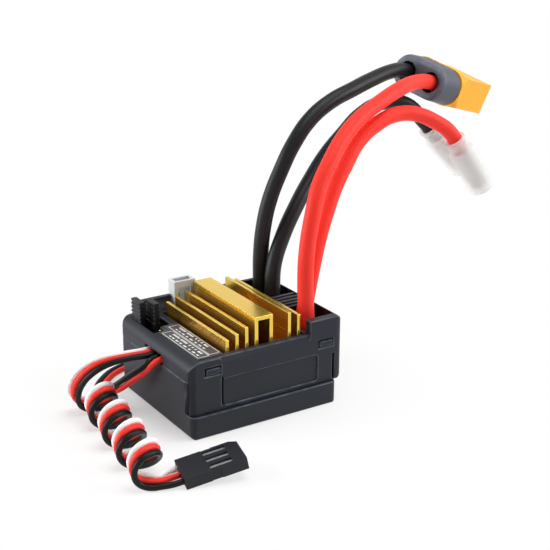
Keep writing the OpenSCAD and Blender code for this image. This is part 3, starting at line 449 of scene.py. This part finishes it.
SATIN = {"Specular IOR Level": 0.3}
DULL = {"Specular IOR Level": 0.20}
FINISHES = {
    "case_black": plastic("case", 0.42, fine=0.35, broad=12, tone=0.12, edge_highlight=1.0, **DULL),
    # The fins take painted shade on their sides and on the floor between them
    "sink_gold": metal("sink", 0.21, lines=(0.35, 18.0, 0.35), depth=0.0012, tone=0.06, edge_highlight=0.3,
                       fin_shade="fin_shade", metallic=0.82),
    "pad_grey": plastic("pad", 0.75, fine=0.4, depth=0.03),
    "board_green": plastic("board", 0.35, fine=0.5, broad=3),
    "chip_black": plastic("jumper", 0.55, fine=0.2),
    "capacitor_can": metal("steel", 0.32, lines=(0.3, 0.3, 9.0)),
    "solder_tin": metal("tin", 0.25, lines=(1.2, 1.2, 1.2), depth=0.02),
    "pin_gold": metal("gold", 0.22, lines=(0.2, 0.2, 3.0)),
    "jumper_black": plastic("jumper", 0.42, fine=0.22, broad=4, edge_highlight=0.5, **SATIN),
    "socket_white": plastic("socket", 0.34, fine=0.5, broad=5, tone=0.05,
                            **{"Transmission Weight": 0.12, "IOR": 1.3}),
    "label_print": plastic("label", 0.33, fine=0.25, broad=5, depth=0.004),
    "label_marks": plastic("label_ink", 0.45, fine=0.2, broad=1.5, depth=0.004),
    "grommet_rubber": plastic("rubber", 0.62, depth=0.02),
    "silicone_black": plastic("black", 0.42, fine=0.5, broad=14, depth=0.014, tone=0.2,
                              **{"Specular IOR Level": 0.22, "Sheen Weight": 0.03}),
    "silicone_red": plastic("red", 0.46, fine=0.5, broad=14, depth=0.014, tone=0.05,
                            **{"Specular IOR Level": 0.16, "Sheen Weight": 0.02}),
    "cap_grey": plastic("cap", 0.50, fine=0.35, broad=7, depth=0.012, tone=0.10, edge_highlight=0.2,
                        **SATIN),
    "plug_yellow": plastic("plug", 0.42, fine=0.4, broad=7, tone=0.05, **SATIN),
    "contact_gold": metal("gold", 0.20, lines=(2.0, 0.25, 0.25)),
    "sleeve_clear": plastic("sleeve", 0.22, fine=0.6, broad=5, tone=0.03, **{"Alpha": 0.46}),
    "wire_white": plastic("signal_white", 0.48, fine=0.4, broad=9, tone=0.04, **SATIN),
    "wire_red": plastic("signal_red", 0.46, fine=0.4, broad=9, tone=0.08, **DULL),
    "wire_black": plastic("signal_black", 0.40, fine=0.4, broad=9, tone=0.2, **DULL),
    "servo_black": plastic("servo", 0.44, fine=0.28, broad=6, tone=0.15, edge_highlight=0.5, **SATIN),
    "crimp_tin": metal("tin", 0.28, lines=(3.0, 0.3, 0.3), metallic=0.7),
    "switch_steel": metal("steel", 0.30, lines=(6.0, 0.3, 0.3), edge_highlight=0.3),
    "switch_board": plastic("phenolic", 0.55, broad=2),
    "switch_knob": plastic("jumper", 0.42, fine=0.25, edge_highlight=0.4),
}


def finish(slot):
    """Material of a slot, built once from its plan."""
    found = bpy.data.materials.get(slot)
    if found and found.get("controller_finish"):
        return found
    plan = FINISHES[slot]
    colours = bpy.context.scene.controller_colours
    base = Vector(getattr(colours, plan["colour"]))
    made = bpy.data.materials.new(slot)
    made["controller_finish"] = True
    tree = empty_tree(made)

    def shade(times):
        return (*[min(1.0, c * times) for c in base], 1.0)

    skin = node(tree, "ShaderNodeGroup", node_tree=bpy.data.node_groups[plan["group"]])
    for key, value in plan["inputs"].items():
        skin.inputs[key].default_value = value
    tone = blend_colours(tree, skin.outputs["Tone"], shade(1 - plan["tone"]),
                         shade(1 + plan["tone"]))
    # Painted shade: the marked faces between the fins blend towards the shade colour
    if plan.get("fin_shade"):
        side = node(tree, "ShaderNodeAttribute", attribute_name="fin_shade").outputs["Fac"]
        tone = blend_colours(tree, side, tone, (*getattr(colours, plan["fin_shade"]), 1.0))
    # Painted highlight: the rounded edges blend towards a brighter copy of the base colour, broken
    # up by noise
    if plan["edge_highlight"]:
        edge_highlight = node(tree, "ShaderNodeGroup", node_tree=bpy.data.node_groups["Painted edge highlights"])
        highlight_share = maths(tree, "MULTIPLY", edge_highlight.outputs["Mask"], plan["edge_highlight"])
        tone = blend_colours(tree, highlight_share, tone, shade(HIGHLIGHT_GAIN))
    gloss = spread(tree, skin.outputs["Gloss"], GLOSS_RANGE,
                   (plan["roughness"] - GLOSS_REACH, plan["roughness"] + GLOSS_REACH))
    bump = node(tree, "ShaderNodeBump", {
        "Height": skin.outputs["Height"], "Strength": 1.0, "Distance": plan["depth"] * MM})
    shader = node(tree, "ShaderNodeBsdfPrincipled", {
        "Base Color": tone, "Roughness": gloss, "Normal": bump.outputs[0]})
    for key, value in plan["shader"].items():
        shader.inputs[key].default_value = value
    node(tree, "ShaderNodeOutputMaterial", {"Surface": shader.outputs[0]})
    return made


# Shaping

def copy_solid(name):
    """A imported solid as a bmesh, with its loose triangles joined and its flat faces whole."""
    bm = bmesh.new()
    bm.from_mesh(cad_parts[name].data)
    bmesh.ops.remove_doubles(bm, verts=bm.verts, dist=WELD)
    bmesh.ops.dissolve_limit(bm, angle_limit=JOIN, verts=bm.verts, edges=bm.edges)
    return bm


def round_edges(bm, radius, steps=None, where=None, clamp=True):
    """Rounds the sharp edges that stand out and that where picks.

    The new faces are marked for the painted edge highlights.
    """
    edges = [e for e in bm.edges if e.is_convex and e.calc_face_angle(0) > SHARP
             and (where is None or where(e))]
    made = bmesh.ops.bevel(
        bm, geom=edges, offset=radius, offset_type="OFFSET", affect="EDGES", profile=0.5,
        segments=steps or sizes().edge_steps, material=-1, clamp_overlap=clamp, loop_slide=True)
    layer = bm.loops.layers.float.get("edge") or bm.loops.layers.float.new("edge")
    for face in made["faces"]:
        for loop in face.loops:
            loop[layer] = 1.0
    return bm


def nearest(point, edge):
    """Point of an edge that lies nearest to a place."""
    start, end = (v.co for v in edge.verts)
    share = intersect_point_line(point, start, end)[1]
    return start.lerp(end, min(1.0, max(0.0, share)))


def has_room(edge, radius):
    """Whether an edge can be rounded before it meets what lies across the faces beside it."""
    for loop in edge.link_loops:
        along = loop.link_loop_next.vert.co - loop.vert.co
        across = loop.face.normal.cross(along).normalized()
        for other in loop.face.edges:
            turn = other.calc_face_angle(0)
            if other is edge or turn < FLAT or set(other.verts) & set(edge.verts):
                continue
            # A longer sharp edge is rounded too, so the two roundings share the face
            shared = turn > SHARP and other.calc_length() > edge.calc_length()
            reach = radius * (2 if shared else 1)
            ways = [nearest(v.co, other) - v.co for v in edge.verts]
            ways += [v.co - nearest(v.co, edge) for v in other.verts]
            if any(w.length < reach and w.dot(across) > ACROSS * w.length for w in ways):
                return False
    return True


def middle(edge):
    return (edge.verts[0].co + edge.verts[1].co) / 2


def show(name, data):
    """Object in the scene for a mesh, curve, lamp or camera."""
    made = bpy.data.objects.new(name, data)
    bpy.context.scene.collection.objects.link(made)
    return made


def as_mesh(bm, name):
    """Mesh of a bmesh, which ends here."""
    mesh = bpy.data.meshes.new(name)
    bm.to_mesh(mesh)
    bm.free()
    return mesh


def put(bm, name, slot, nodes=(), body=BODY):
    """Makes a bmesh a piece that rides on a body and stands for the solids it replaces."""
    mesh = as_mesh(bm, name)
    mesh.polygons.foreach_set("use_smooth", [True] * len(mesh.polygons))
    mesh.materials.append(finish(slot))
    piece = show(name, mesh)
    even = piece.modifiers.new("Even normals", "WEIGHTED_NORMAL")
    even.keep_sharp = True
    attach(piece, body)
    if nodes:
        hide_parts(*nodes)
    return piece


def rounded(solid, name, slot, radius):
    """A solid with all its sharp edges rounded, on its own body if it has one."""
    bm = round_edges(copy_solid(solid), radius)
    return put(bm, name, slot, [solid], MOVING.get(solid, BODY))


def round_small(pieces):
    """Rounds pieces listed as solid, name, slot and share of the small edges' radius."""
    for solid, name, slot, share in pieces:
        rounded(solid, name, slot, sizes().small_edge * share)


def wire(name, points, diameter, slot, solid):
    """Round wire on one smooth curve through its points."""
    line = bpy.data.curves.new(name, "CURVE")
    line.dimensions = "3D"
    line.bevel_depth = diameter / 2
    line.bevel_resolution = WIRE_ROUND
    line.resolution_u = WIRE_STEPS
    line.use_fill_caps = True
    spline = line.splines.new("BEZIER")
    spline.bezier_points.add(len(points) - 1)
    for knot, place in zip(spline.bezier_points, points):
        knot.co = Vector(place) * MM
        knot.handle_left_type = knot.handle_right_type = "AUTO"
    line.materials.append(finish(slot))
    piece = show(name, line)
    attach(piece, BODY)
    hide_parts(solid)
    return piece


# Operators

class MakeStage(bpy.types.Operator):
    """Camera at the photograph's view, soft lamps, pale floor and white surroundings"""

    bl_idname = "controller.make_stage"
    bl_label = "Stage"

    # Name, place, side of the square and power
    LAMPS = [
        ("left_lamp", (-0.50, 0.30, 0.20), 0.42, 3.2),
        ("top_lamp", (0.12, -0.08, 0.70), 0.50, 3.2),
        ("right_lamp", (0.55, -0.30, 0.30), 0.42, 2.7),
    ]
    TARGET = Vector((0.012, 0.0, 0.02))
    # Width of the camera's sensor in millimetres, and the distances that it sees
    SENSOR = 36.0
    CLIP = (0.01, 20.0)
    # Side of the studio that the camera stands on, how far round it the light from all round
    # fades, and what is left of it there
    DIM_SIDE = (-0.51, -0.79, 0.34)
    DIM_FADE = (0.0, 0.9)
    DIM_SHARE = 0.15
    # Size and cells of the floor, scale of its drift of tone and the darkest tone
    FLOOR_SIDE = 4.0
    FLOOR_CELLS = 8
    FLOOR_DRIFT = 3.0
    FLOOR_TONE = 0.99
    # Middle of the shaded floor, and the distances over which it fades to white
    SHADOW_AT = (-0.014, 0.006, 0.0)
    SHADOW_R = (0.010, 0.065)
    # Height of a direction over which the backdrop fades in reflections, and what is left of it
    BACKDROP = (0.36, 0.62)
    BACKDROP_SHARE = 0.35

    def execute(self, context):
        scene = context.scene
        studio = scene.controller_studio
        scene.view_settings.view_transform = "Standard"
        self.camera(scene, studio)
        for name, place, side, power in self.LAMPS:
            lamp = bpy.data.lights.new(name, "AREA")
            lamp.energy = power
            lamp.shape = "SQUARE"
            lamp.size = side
            holder = show(name, lamp)
            holder.location = place
            way = self.TARGET - Vector(place)
            holder.rotation_euler = way.to_track_quat("-Z", "Y").to_euler()
        self.world(scene, studio)
        self.floor(studio)
        return {"FINISHED"}

    def camera(self, scene, studio):
        data = bpy.data.cameras.new("camera")
        data.lens = studio.lens
        data.sensor_width = self.SENSOR
        data.clip_start, data.clip_end = self.CLIP
        holder = show("camera", data)
        holder.rotation_mode = "QUATERNION"
        view = (Matrix.Rotation(studio.camera_turn, 3, "Z")
                @ Matrix.Rotation(math.pi / 2 - studio.camera_fall, 3, "X")
                @ Matrix.Rotation(studio.camera_roll, 3, "Z"))
        holder.rotation_quaternion = view.to_quaternion()
        holder.location = studio.camera_place
        scene.camera = holder

    def seen(self, tree):
        """1 for rays that show the surroundings, directly or in metal and glass."""
        path = node(tree, "ShaderNodeLightPath").outputs
        either = maths(tree, "MAXIMUM", path["Is Camera Ray"], path["Is Glossy Ray"])
        return maths(tree, "MAXIMUM", either, path["Is Transmission Ray"])

    def mix_shaders(self, tree, share, first, second):
        """Mix of the shaders of two nodes."""
        links = {0: share, 1: first.outputs[0], 2: second.outputs[0]}
        return node(tree, "ShaderNodeMixShader", links).outputs[0]

    def world(self, scene, studio):
        world = bpy.data.worlds.new("studio")
        tree = empty_tree(world)
        way = node(tree, "ShaderNodeTexCoord").outputs["Generated"]
        front = node(tree, "ShaderNodeVectorMath", {0: way, 1: self.DIM_SIDE},
                     operation="DOT_PRODUCT").outputs["Value"]
        fall = spread(tree, front, self.DIM_FADE,
                      (studio.ambient, studio.ambient * self.DIM_SHARE))
        light = node(tree, "ShaderNodeBackground", {"Color": WHITE, "Strength": fall})
        height = node(tree, "ShaderNodeSeparateXYZ", {0: way}).outputs["Z"]
        backdrop = spread(tree, height, self.BACKDROP, (1.0, self.BACKDROP_SHARE))
        direct = node(tree, "ShaderNodeLightPath").outputs["Is Camera Ray"]
        level = maths(tree, "MAXIMUM", direct, backdrop)
        white = node(tree, "ShaderNodeBackground", {"Color": WHITE, "Strength": level})
        mix = self.mix_shaders(tree, self.seen(tree), light, white)
        node(tree, "ShaderNodeOutputWorld", {"Surface": mix})
        scene.world = world

    def floor(self, studio):
        bm = bmesh.new()
        bmesh.ops.create_grid(bm, x_segments=self.FLOOR_CELLS, y_segments=self.FLOOR_CELLS,
                              size=self.FLOOR_SIDE / 2)
        mesh = as_mesh(bm, "floor")
        made = bpy.data.materials.new("studio_floor")
        tree = empty_tree(made)
        place = place_on_object(tree)
        drift = noise(tree, place, self.FLOOR_DRIFT, 2.0)
        low = (*[c * self.FLOOR_TONE for c in studio.floor], 1.0)
        tone = blend_colours(tree, drift, low, (*studio.floor, 1.0))
        matt = node(tree, "ShaderNodeBsdfDiffuse", {"Color": tone})
        glow = node(tree, "ShaderNodeEmission", {"Color": WHITE, "Strength": 1.0})
        away = node(tree, "ShaderNodeVectorMath", {0: place, 1: self.SHADOW_AT},
                    operation="DISTANCE").outputs["Value"]
        white = spread(tree, away, self.SHADOW_R, (studio.floor_glow, 1.0))
        share = maths(tree, "MULTIPLY", self.seen(tree), white)
        mix = self.mix_shaders(tree, share, matt, glow)
        node(tree, "ShaderNodeOutputMaterial", {"Surface": mix})
        mesh.materials.append(made)
        show("floor", mesh)


class MakeFinishes(bpy.types.Operator):
    """Shared grain, drawn lines and painted edge highlights that the finishes use"""

    bl_idname = "controller.make_finishes"
    bl_label = "Finishes"

    def execute(self, context):
        grain_group()
        drawn_group()
        edge_highlight_group()
        return {"FINISHED"}


class MakePowerWires(bpy.types.Operator):
    """Four silicone wires from the bay to the battery plug and the motor sockets"""

    bl_idname = "controller.make_power_wires"
    bl_label = "Power wires"

    def execute(self, context):
        for name, route in POWER_ROUTES.items():
            shade = name.rsplit("_", 1)[1]
            wire(name + "_skin", route, sizes().power_d, "silicone_" + shade, name)
        return {"FINISHED"}


class MakeServoLead(bpy.types.Operator):
    """Curly servo lead of three wires"""

    bl_idname = "controller.make_servo_lead"
    bl_label = "Servo lead"

    def execute(self, context):
        for k, shade in SERVO_WIRES:
            solid = "servo_wire_" + shade
            wire(solid + "_skin", servo_route(k), sizes().signal_d, "wire_" + shade, solid)
        return {"FINISHED"}


class MakeSwitchLead(bpy.types.Operator):
    """Pair of wires from the case to the switch"""

    bl_idname = "controller.make_switch_lead"
    bl_label = "Switch lead"

    def execute(self, context):
        for k, shade in SWITCH_WIRES:
            solid = "switch_wire_" + shade
            route = strand(SWITCH_LEAD, k)
            wire(solid + "_skin", route, sizes().signal_d, "wire_" + shade, solid)
        return {"FINISHED"}


class MakeCase(bpy.types.Operator):
    """Tub and cover with soft moulded edges, the wire comb and the grommet"""

    bl_idname = "controller.make_case"
    bl_label = "Case"

    # Reach within which an edge lies on the inner side of the skirt
    SKIRT_REACH = 0.15 * MM
    PIECES = (
        ("wire_comb", "comb", "case_black", 1.0),
        ("lead_grommet", "grommet", "grommet_rubber", 1.0),
    )

    def execute(self, context):
        radius = sizes().case_edge
        tub = round_edges(copy_solid("lower_case"), radius, clamp=False)
        put(tub, "tub", "case_black", ["lower_case"])
        skirt_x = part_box("lower_case")[1].x

        def free(edge):
            """False on the skirt's inner side and where the rounding lacks room."""
            on_skirt = all(abs(v.co.x - skirt_x) < self.SKIRT_REACH for v in edge.verts)
            return not on_skirt and has_room(edge, radius)

        cover = copy_solid("upper_cover")
        cover.normal_update()
        round_edges(cover, radius, where=free, clamp=False)
        put(cover, "cover", "case_black", ["upper_cover"])
        round_small(self.PIECES)
        return {"FINISHED"}


class MakeHeatSink(bpy.types.Operator):
    """Gold heat sink with broken fin edges and painted shade on the fins' sides and the floor
    between them
    """

    bl_idname = "controller.make_heat_sink"
    bl_label = "Heat sink"

    # Height below which a face that looks up is the floor between the fins
    FLOOR_H = 2.1 * MM
    # Cosine above which a face looks along an axis
    FACING = 0.9
    # Share of the painted shade's colour at the top of the fins; it grows towards their foot
    TOP_SHARE = 0.3

    def execute(self, context):
        bm = round_edges(copy_solid("heat_sink"), sizes().fin_edge)
        bm.normal_update()
        low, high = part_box("heat_sink")
        fin_h = high.z - low.z - self.FLOOR_H
        # Painted shade: the fins' sides and the floor between them are marked, more of it towards
        # the bottom
        layer = bm.loops.layers.float.new("fin_shade")
        for face in bm.faces:
            flat = face.normal.z > self.FACING
            on_floor = flat and face.calc_center_median().z < low.z + self.FLOOR_H
            # Faces that take the painted shade: the fins' sides and the floor between them
            drawn = abs(face.normal.x) > self.FACING or on_floor
            for loop in face.loops:
                depth = (high.z - loop.vert.co.z) / fin_h
                loop[layer] = min(1.0, self.TOP_SHARE + depth) if drawn else 0.0
        put(bm, "sink", "sink_gold", ["heat_sink"])
        return {"FINISHED"}


class MakeJumpers(bpy.types.Operator):
    """Two ribbed jumper caps on their pin headers"""

    bl_idname = "controller.make_jumpers"
    bl_label = "Jumpers"

    PIECES = (
        ("battery_jumper", "battery_jumper_cap", "jumper_black", 0.6),
        ("brake_jumper", "brake_jumper_cap", "jumper_black", 0.6),
        ("jumper_base", "jumper_headers", "jumper_black", 1.0),
        ("jumper_pins", "jumper_posts", "pin_gold", 1.0),
    )

    def execute(self, context):
        round_small(self.PIECES)
        return {"FINISHED"}


class MakeFanSocket(bpy.types.Operator):
    """Milky fan socket and its pins"""

    bl_idname = "controller.make_fan_socket"
    bl_label = "Fan socket"

    PIECES = (
        ("fan_socket", "fan_shroud", "socket_white", 1.0),
        ("fan_pins", "fan_posts", "solder_tin", 0.6),
    )

    def execute(self, context):
        round_small(self.PIECES)
        return {"FINISHED"}


class MakeLabel(bpy.types.Operator):
    """Settings label: two lined columns with plain bars for the jumper places and the rows"""

    bl_idname = "controller.make_label"
    bl_label = "Label"

    # Radius on the film's edges, width of a line and thickness of the ink
    FILM_EDGE = 0.04 * MM
    LINE = 0.13 * MM
    INK = 0.02 * MM
    # Lined columns in millimetres: left, right, front, rear
    COLUMNS = ((-15.5, -13.0, -13.3, 1.9), (-12.7, -10.35, -12.9, 4.3))
    # Rows of a column, in millimetres from its left side and its rear: place, then starts and
    # lengths of the marks, then their width
    ROWS = (
        (0.70, ((1.9, 0.7), (3.1, 0.9), (4.6, 1.1), (6.3, 0.8), (7.9, 1.2), (10.0, 0.8),
                (11.6, 1.1), (13.4, 0.8)), 0.36),
        (1.75, ((1.6, 0.5), (2.25, 0.6), (3.0, 0.5), (3.65, 0.6), (4.9, 0.55), (5.6, 0.5),
                (6.25, 0.65), (7.05, 0.5), (8.5, 0.45), (9.7, 0.45), (10.9, 0.45), (12.1, 0.9),
                (13.15, 0.5)), 0.52))

    def execute(self, context):
        rounded("setting_label", "label_film", "label_print", self.FILM_EDGE)
        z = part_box("setting_label")[1].z
        bm = bmesh.new()
        for left, right, front, rear in self.COLUMNS:
            low, high = Vector((left, front)) * MM, Vector((right, rear)) * MM
            for x in (low.x, high.x):
                self.bar(bm, x, high.y, self.LINE, high.y - low.y, z)
            for y in (low.y, high.y):
                self.bar(bm, (low.x + high.x) / 2, y + self.LINE / 2, high.x - low.x, self.LINE, z)
            for at, marks, wide in self.ROWS:
                for start, long in marks:
                    self.bar(bm, low.x + at * MM, high.y - start * MM, wide * MM, long * MM, z)
        put(bm, "label_marks", "label_marks")
        return {"FINISHED"}

    def bar(self, bm, x, rear, wide, long, z):
        """A printed bar of hardly any thickness, running forward from its rear end."""
        place = Matrix.Translation((x, rear - long / 2, z + self.INK / 2))
        size = Matrix.Diagonal((wide, long, self.INK, 1))
        bmesh.ops.create_cube(bm, size=1.0, matrix=place @ size)


class MakeBatteryPlug(bpy.types.Operator):
    """Battery plug: rounded grey cap with two wire holes, yellow housing and pins"""

    bl_idname = "controller.make_battery_plug"
    bl_label = "Battery plug"

    # Width of the cap at its wire side, as a share, and the length over which it widens
    TAPER = 0.95
    TAPER_L = 4.0 * MM
    # Reach within which an edge lies on the wire side, and a point on the wall of a hole
    SIDE_REACH = 0.01 * MM
    HOLE_REACH = 2.6 * MM
    # Faces across the rounding of the wire side and of the corners, and a corner's least turn
    SIDE_STEPS = 5
    CORNER_STEPS = 2
    CORNER = math.radians(60)
    CORNER_SHARE = 1.6
    PIECES = (
        ("battery_plug_housing", "plug_housing", "plug_yellow", 1.8),
        ("battery_plug_pins", "plug_pins", "contact_gold", 2.5),
    )

    def execute(self, context):
        size = sizes()
        cap = copy_solid("battery_plug_cap")
        cap.transform(plug_frame.inverted())
        round_edges(cap, size.cap_edge, self.SIDE_STEPS, self.on_outline)
        round_edges(cap, size.small_edge * self.CORNER_SHARE, self.CORNER_STEPS,
                    lambda e: e.calc_face_angle(0) > self.CORNER)
        for v in cap.verts:
            if v.co.x < self.TAPER_L and not self.at_hole(v.co):
                shrink = self.TAPER + (1 - self.TAPER) * v.co.x / self.TAPER_L
                v.co.y *= shrink
                v.co.z *= shrink
        cap.transform(plug_frame)
        put(cap, "plug_cap", "cap_grey", ["battery_plug_cap"])
        round_small(self.PIECES)
        return {"FINISHED"}

    def on_outline(self, edge):
        """True round the wire side, away from its holes."""
        on_side = abs(middle(edge).x) < self.SIDE_REACH
        return on_side and not any(self.at_hole(v.co) for v in edge.verts)

    def at_hole(self, place):
        """True on the wall of a wire hole."""
        half = POLE_PITCH / 2 * MM
        away = min(math.hypot(place.y - side * half, place.z) for side in (-1, 1))
        return away < self.HOLE_REACH


class MakeMotorSockets(bpy.types.Operator):
    """Bullet sockets in their clear sleeves"""

    bl_idname = "controller.make_motor_sockets"
    bl_label = "Motor sockets"

    PIECES = (
        ("motor_sleeve_black", "sleeve_black", "sleeve_clear", 1.6),
        ("motor_bullet_black", "bullet_black", "crimp_tin", 1.0),
        ("motor_sleeve_red", "sleeve_red", "sleeve_clear", 1.6),
        ("motor_bullet_red", "bullet_red", "crimp_tin", 1.0),
    )

    def execute(self, context):
        round_small(self.PIECES)
        return {"FINISHED"}


class MakeServoPlug(bpy.types.Operator):
    """Servo plug with its contact windows and crimps"""

    bl_idname = "controller.make_servo_plug"
    bl_label = "Servo plug"

    PIECES = (
        ("servo_plug", "servo_shell", "servo_black", 1.0),
        ("servo_contacts", "servo_crimps", "crimp_tin", 0.6),
    )

    def execute(self, context):
        round_small(self.PIECES)
        return {"FINISHED"}


class MakeSwitch(bpy.types.Operator):
    """Slide switch: can, base, terminals, shrink tubes and the slider on its own body"""

    bl_idname = "controller.make_switch"
    bl_label = "Switch"

    PIECES = (
        ("switch_frame", "switch_can", "switch_steel", 1.0),
        ("switch_base", "switch_back", "switch_board", 1.0),
        ("switch_terminals", "switch_tags", "solder_tin", 0.6),
        ("switch_sleeves", "switch_tubes", "grommet_rubber", 1.0),
        ("switch_slider", "switch_button", "switch_knob", 1.0),
        ("switch_wiper", "switch_strip", "pin_gold", 0.6),
    )

    def execute(self, context):
        round_small(self.PIECES)
        return {"FINISHED"}


class MakeBoard(bpy.types.Operator):
    """Circuit board, its chips, capacitors and solder lugs, and the thermal pad"""

    bl_idname = "controller.make_board"
    bl_label = "Circuit board"

    PIECES = (
        ("circuit_board", "board", "board_green", 0.6),
        ("power_transistors", "transistors", "chip_black", 1.0),
        ("microcontroller", "control_chip", "chip_black", 0.6),
        ("voltage_regulator", "regulator", "chip_black", 1.0),
        ("filter_capacitors", "capacitors", "capacitor_can", 2.0),
        ("solder_lugs", "solder_joints", "solder_tin", 2.0),
        ("thermal_pad", "pad", "pad_grey", 1.0),
    )

    def execute(self, context):
        round_small(self.PIECES)
        return {"FINISHED"}


class DeclareCords(bpy.types.Operator):
    """Goes through each wire's length, stiffness and end pieces; its declare step is empty, so
    nothing is recorded
    """

    bl_idname = "controller.declare_cords"
    bl_label = "Cord facts"

    # Lengths in metres
    POWER_L = {
        "battery_wire_black": 0.088,
        "battery_wire_red": 0.091,
        "motor_wire_black": 0.083,
        "motor_wire_red": 0.082,
    }
    SERVO_L = 0.128
    SWITCH_L = 0.071
    # Pieces on the wires' ends
    ON_BATTERY = ["plug_cap", "plug_housing", "plug_pins"]
    ON_SERVO = ["servo_shell", "servo_crimps"]
    ON_SWITCH = ["switch_can", "switch_back", "switch_tags", "switch_tubes", "switch_button",
                 "switch_strip"]

    def execute(self, context):
        size = sizes()
        for name, route in POWER_ROUTES.items():
            shade = name.rsplit("_", 1)[1]
            on_motor = ["sleeve_" + shade, "bullet_" + shade]
            on_end = self.ON_BATTERY if name.startswith("battery") else on_motor
            self.declare(name, route, self.POWER_L[name], size.power_d, "connector", "stiff",
                         "loose", on_end)
        for k, shade in SERVO_WIRES:
            self.declare("servo_wire_" + shade, servo_route(k), self.SERVO_L, size.signal_d,
                         "plug", "medium", "coiled", self.ON_SERVO)
        for k, shade in SWITCH_WIRES:
            self.declare("switch_wire_" + shade, strand(SWITCH_LEAD, k), self.SWITCH_L,
                         size.signal_d, "fitting", "medium", "loose", self.ON_SWITCH)
        return {"FINISHED"}

    def declare(self, name, route, long, thick, far_end, stiffness, lay, on_end):
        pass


OPERATORS = (
    MakeStage, MakeFinishes, MakePowerWires, MakeServoLead, MakeSwitchLead, MakeCase,
    MakeHeatSink, MakeJumpers, MakeFanSocket, MakeLabel, MakeBatteryPlug, MakeMotorSockets,
    MakeServoPlug, MakeSwitch, MakeBoard, DeclareCords)


class ControllerPanel(bpy.types.Panel):
    """Lists the steps that build the controller"""

    bl_idname = "VIEW3D_PT_controller"
    bl_label = "Speed controller"
    bl_space_type = "VIEW_3D"
    bl_region_type = "UI"
    bl_category = "Controller"

    def draw(self, context):
        scene = context.scene
        for step in OPERATORS:
            self.layout.operator(step.bl_idname)
        for settings in (scene.controller_sizes, scene.controller_colours,
                         scene.controller_studio):
            box = self.layout.box()
            for key in settings.__annotations__:
                box.prop(settings, key)


CLASSES = (ControllerColours, ControllerSizes, StudioSettings, *OPERATORS, ControllerPanel)


def register():
    for made in CLASSES:
        bpy.utils.register_class(made)
    bpy.types.Scene.controller_colours = PointerProperty(type=ControllerColours)
    bpy.types.Scene.controller_sizes = PointerProperty(type=ControllerSizes)
    bpy.types.Scene.controller_studio = PointerProperty(type=StudioSettings)


def unregister():
    del bpy.types.Scene.controller_colours
    del bpy.types.Scene.controller_sizes
    del bpy.types.Scene.controller_studio
    for made in reversed(CLASSES):
        bpy.utils.unregister_class(made)


def main():
    """Builds everything in order."""
    register()
    for step in OPERATORS:
        family, name = step.bl_idname.split(".")
        getattr(getattr(bpy.ops, family), name)()


if __name__ == "__main__":
    main()
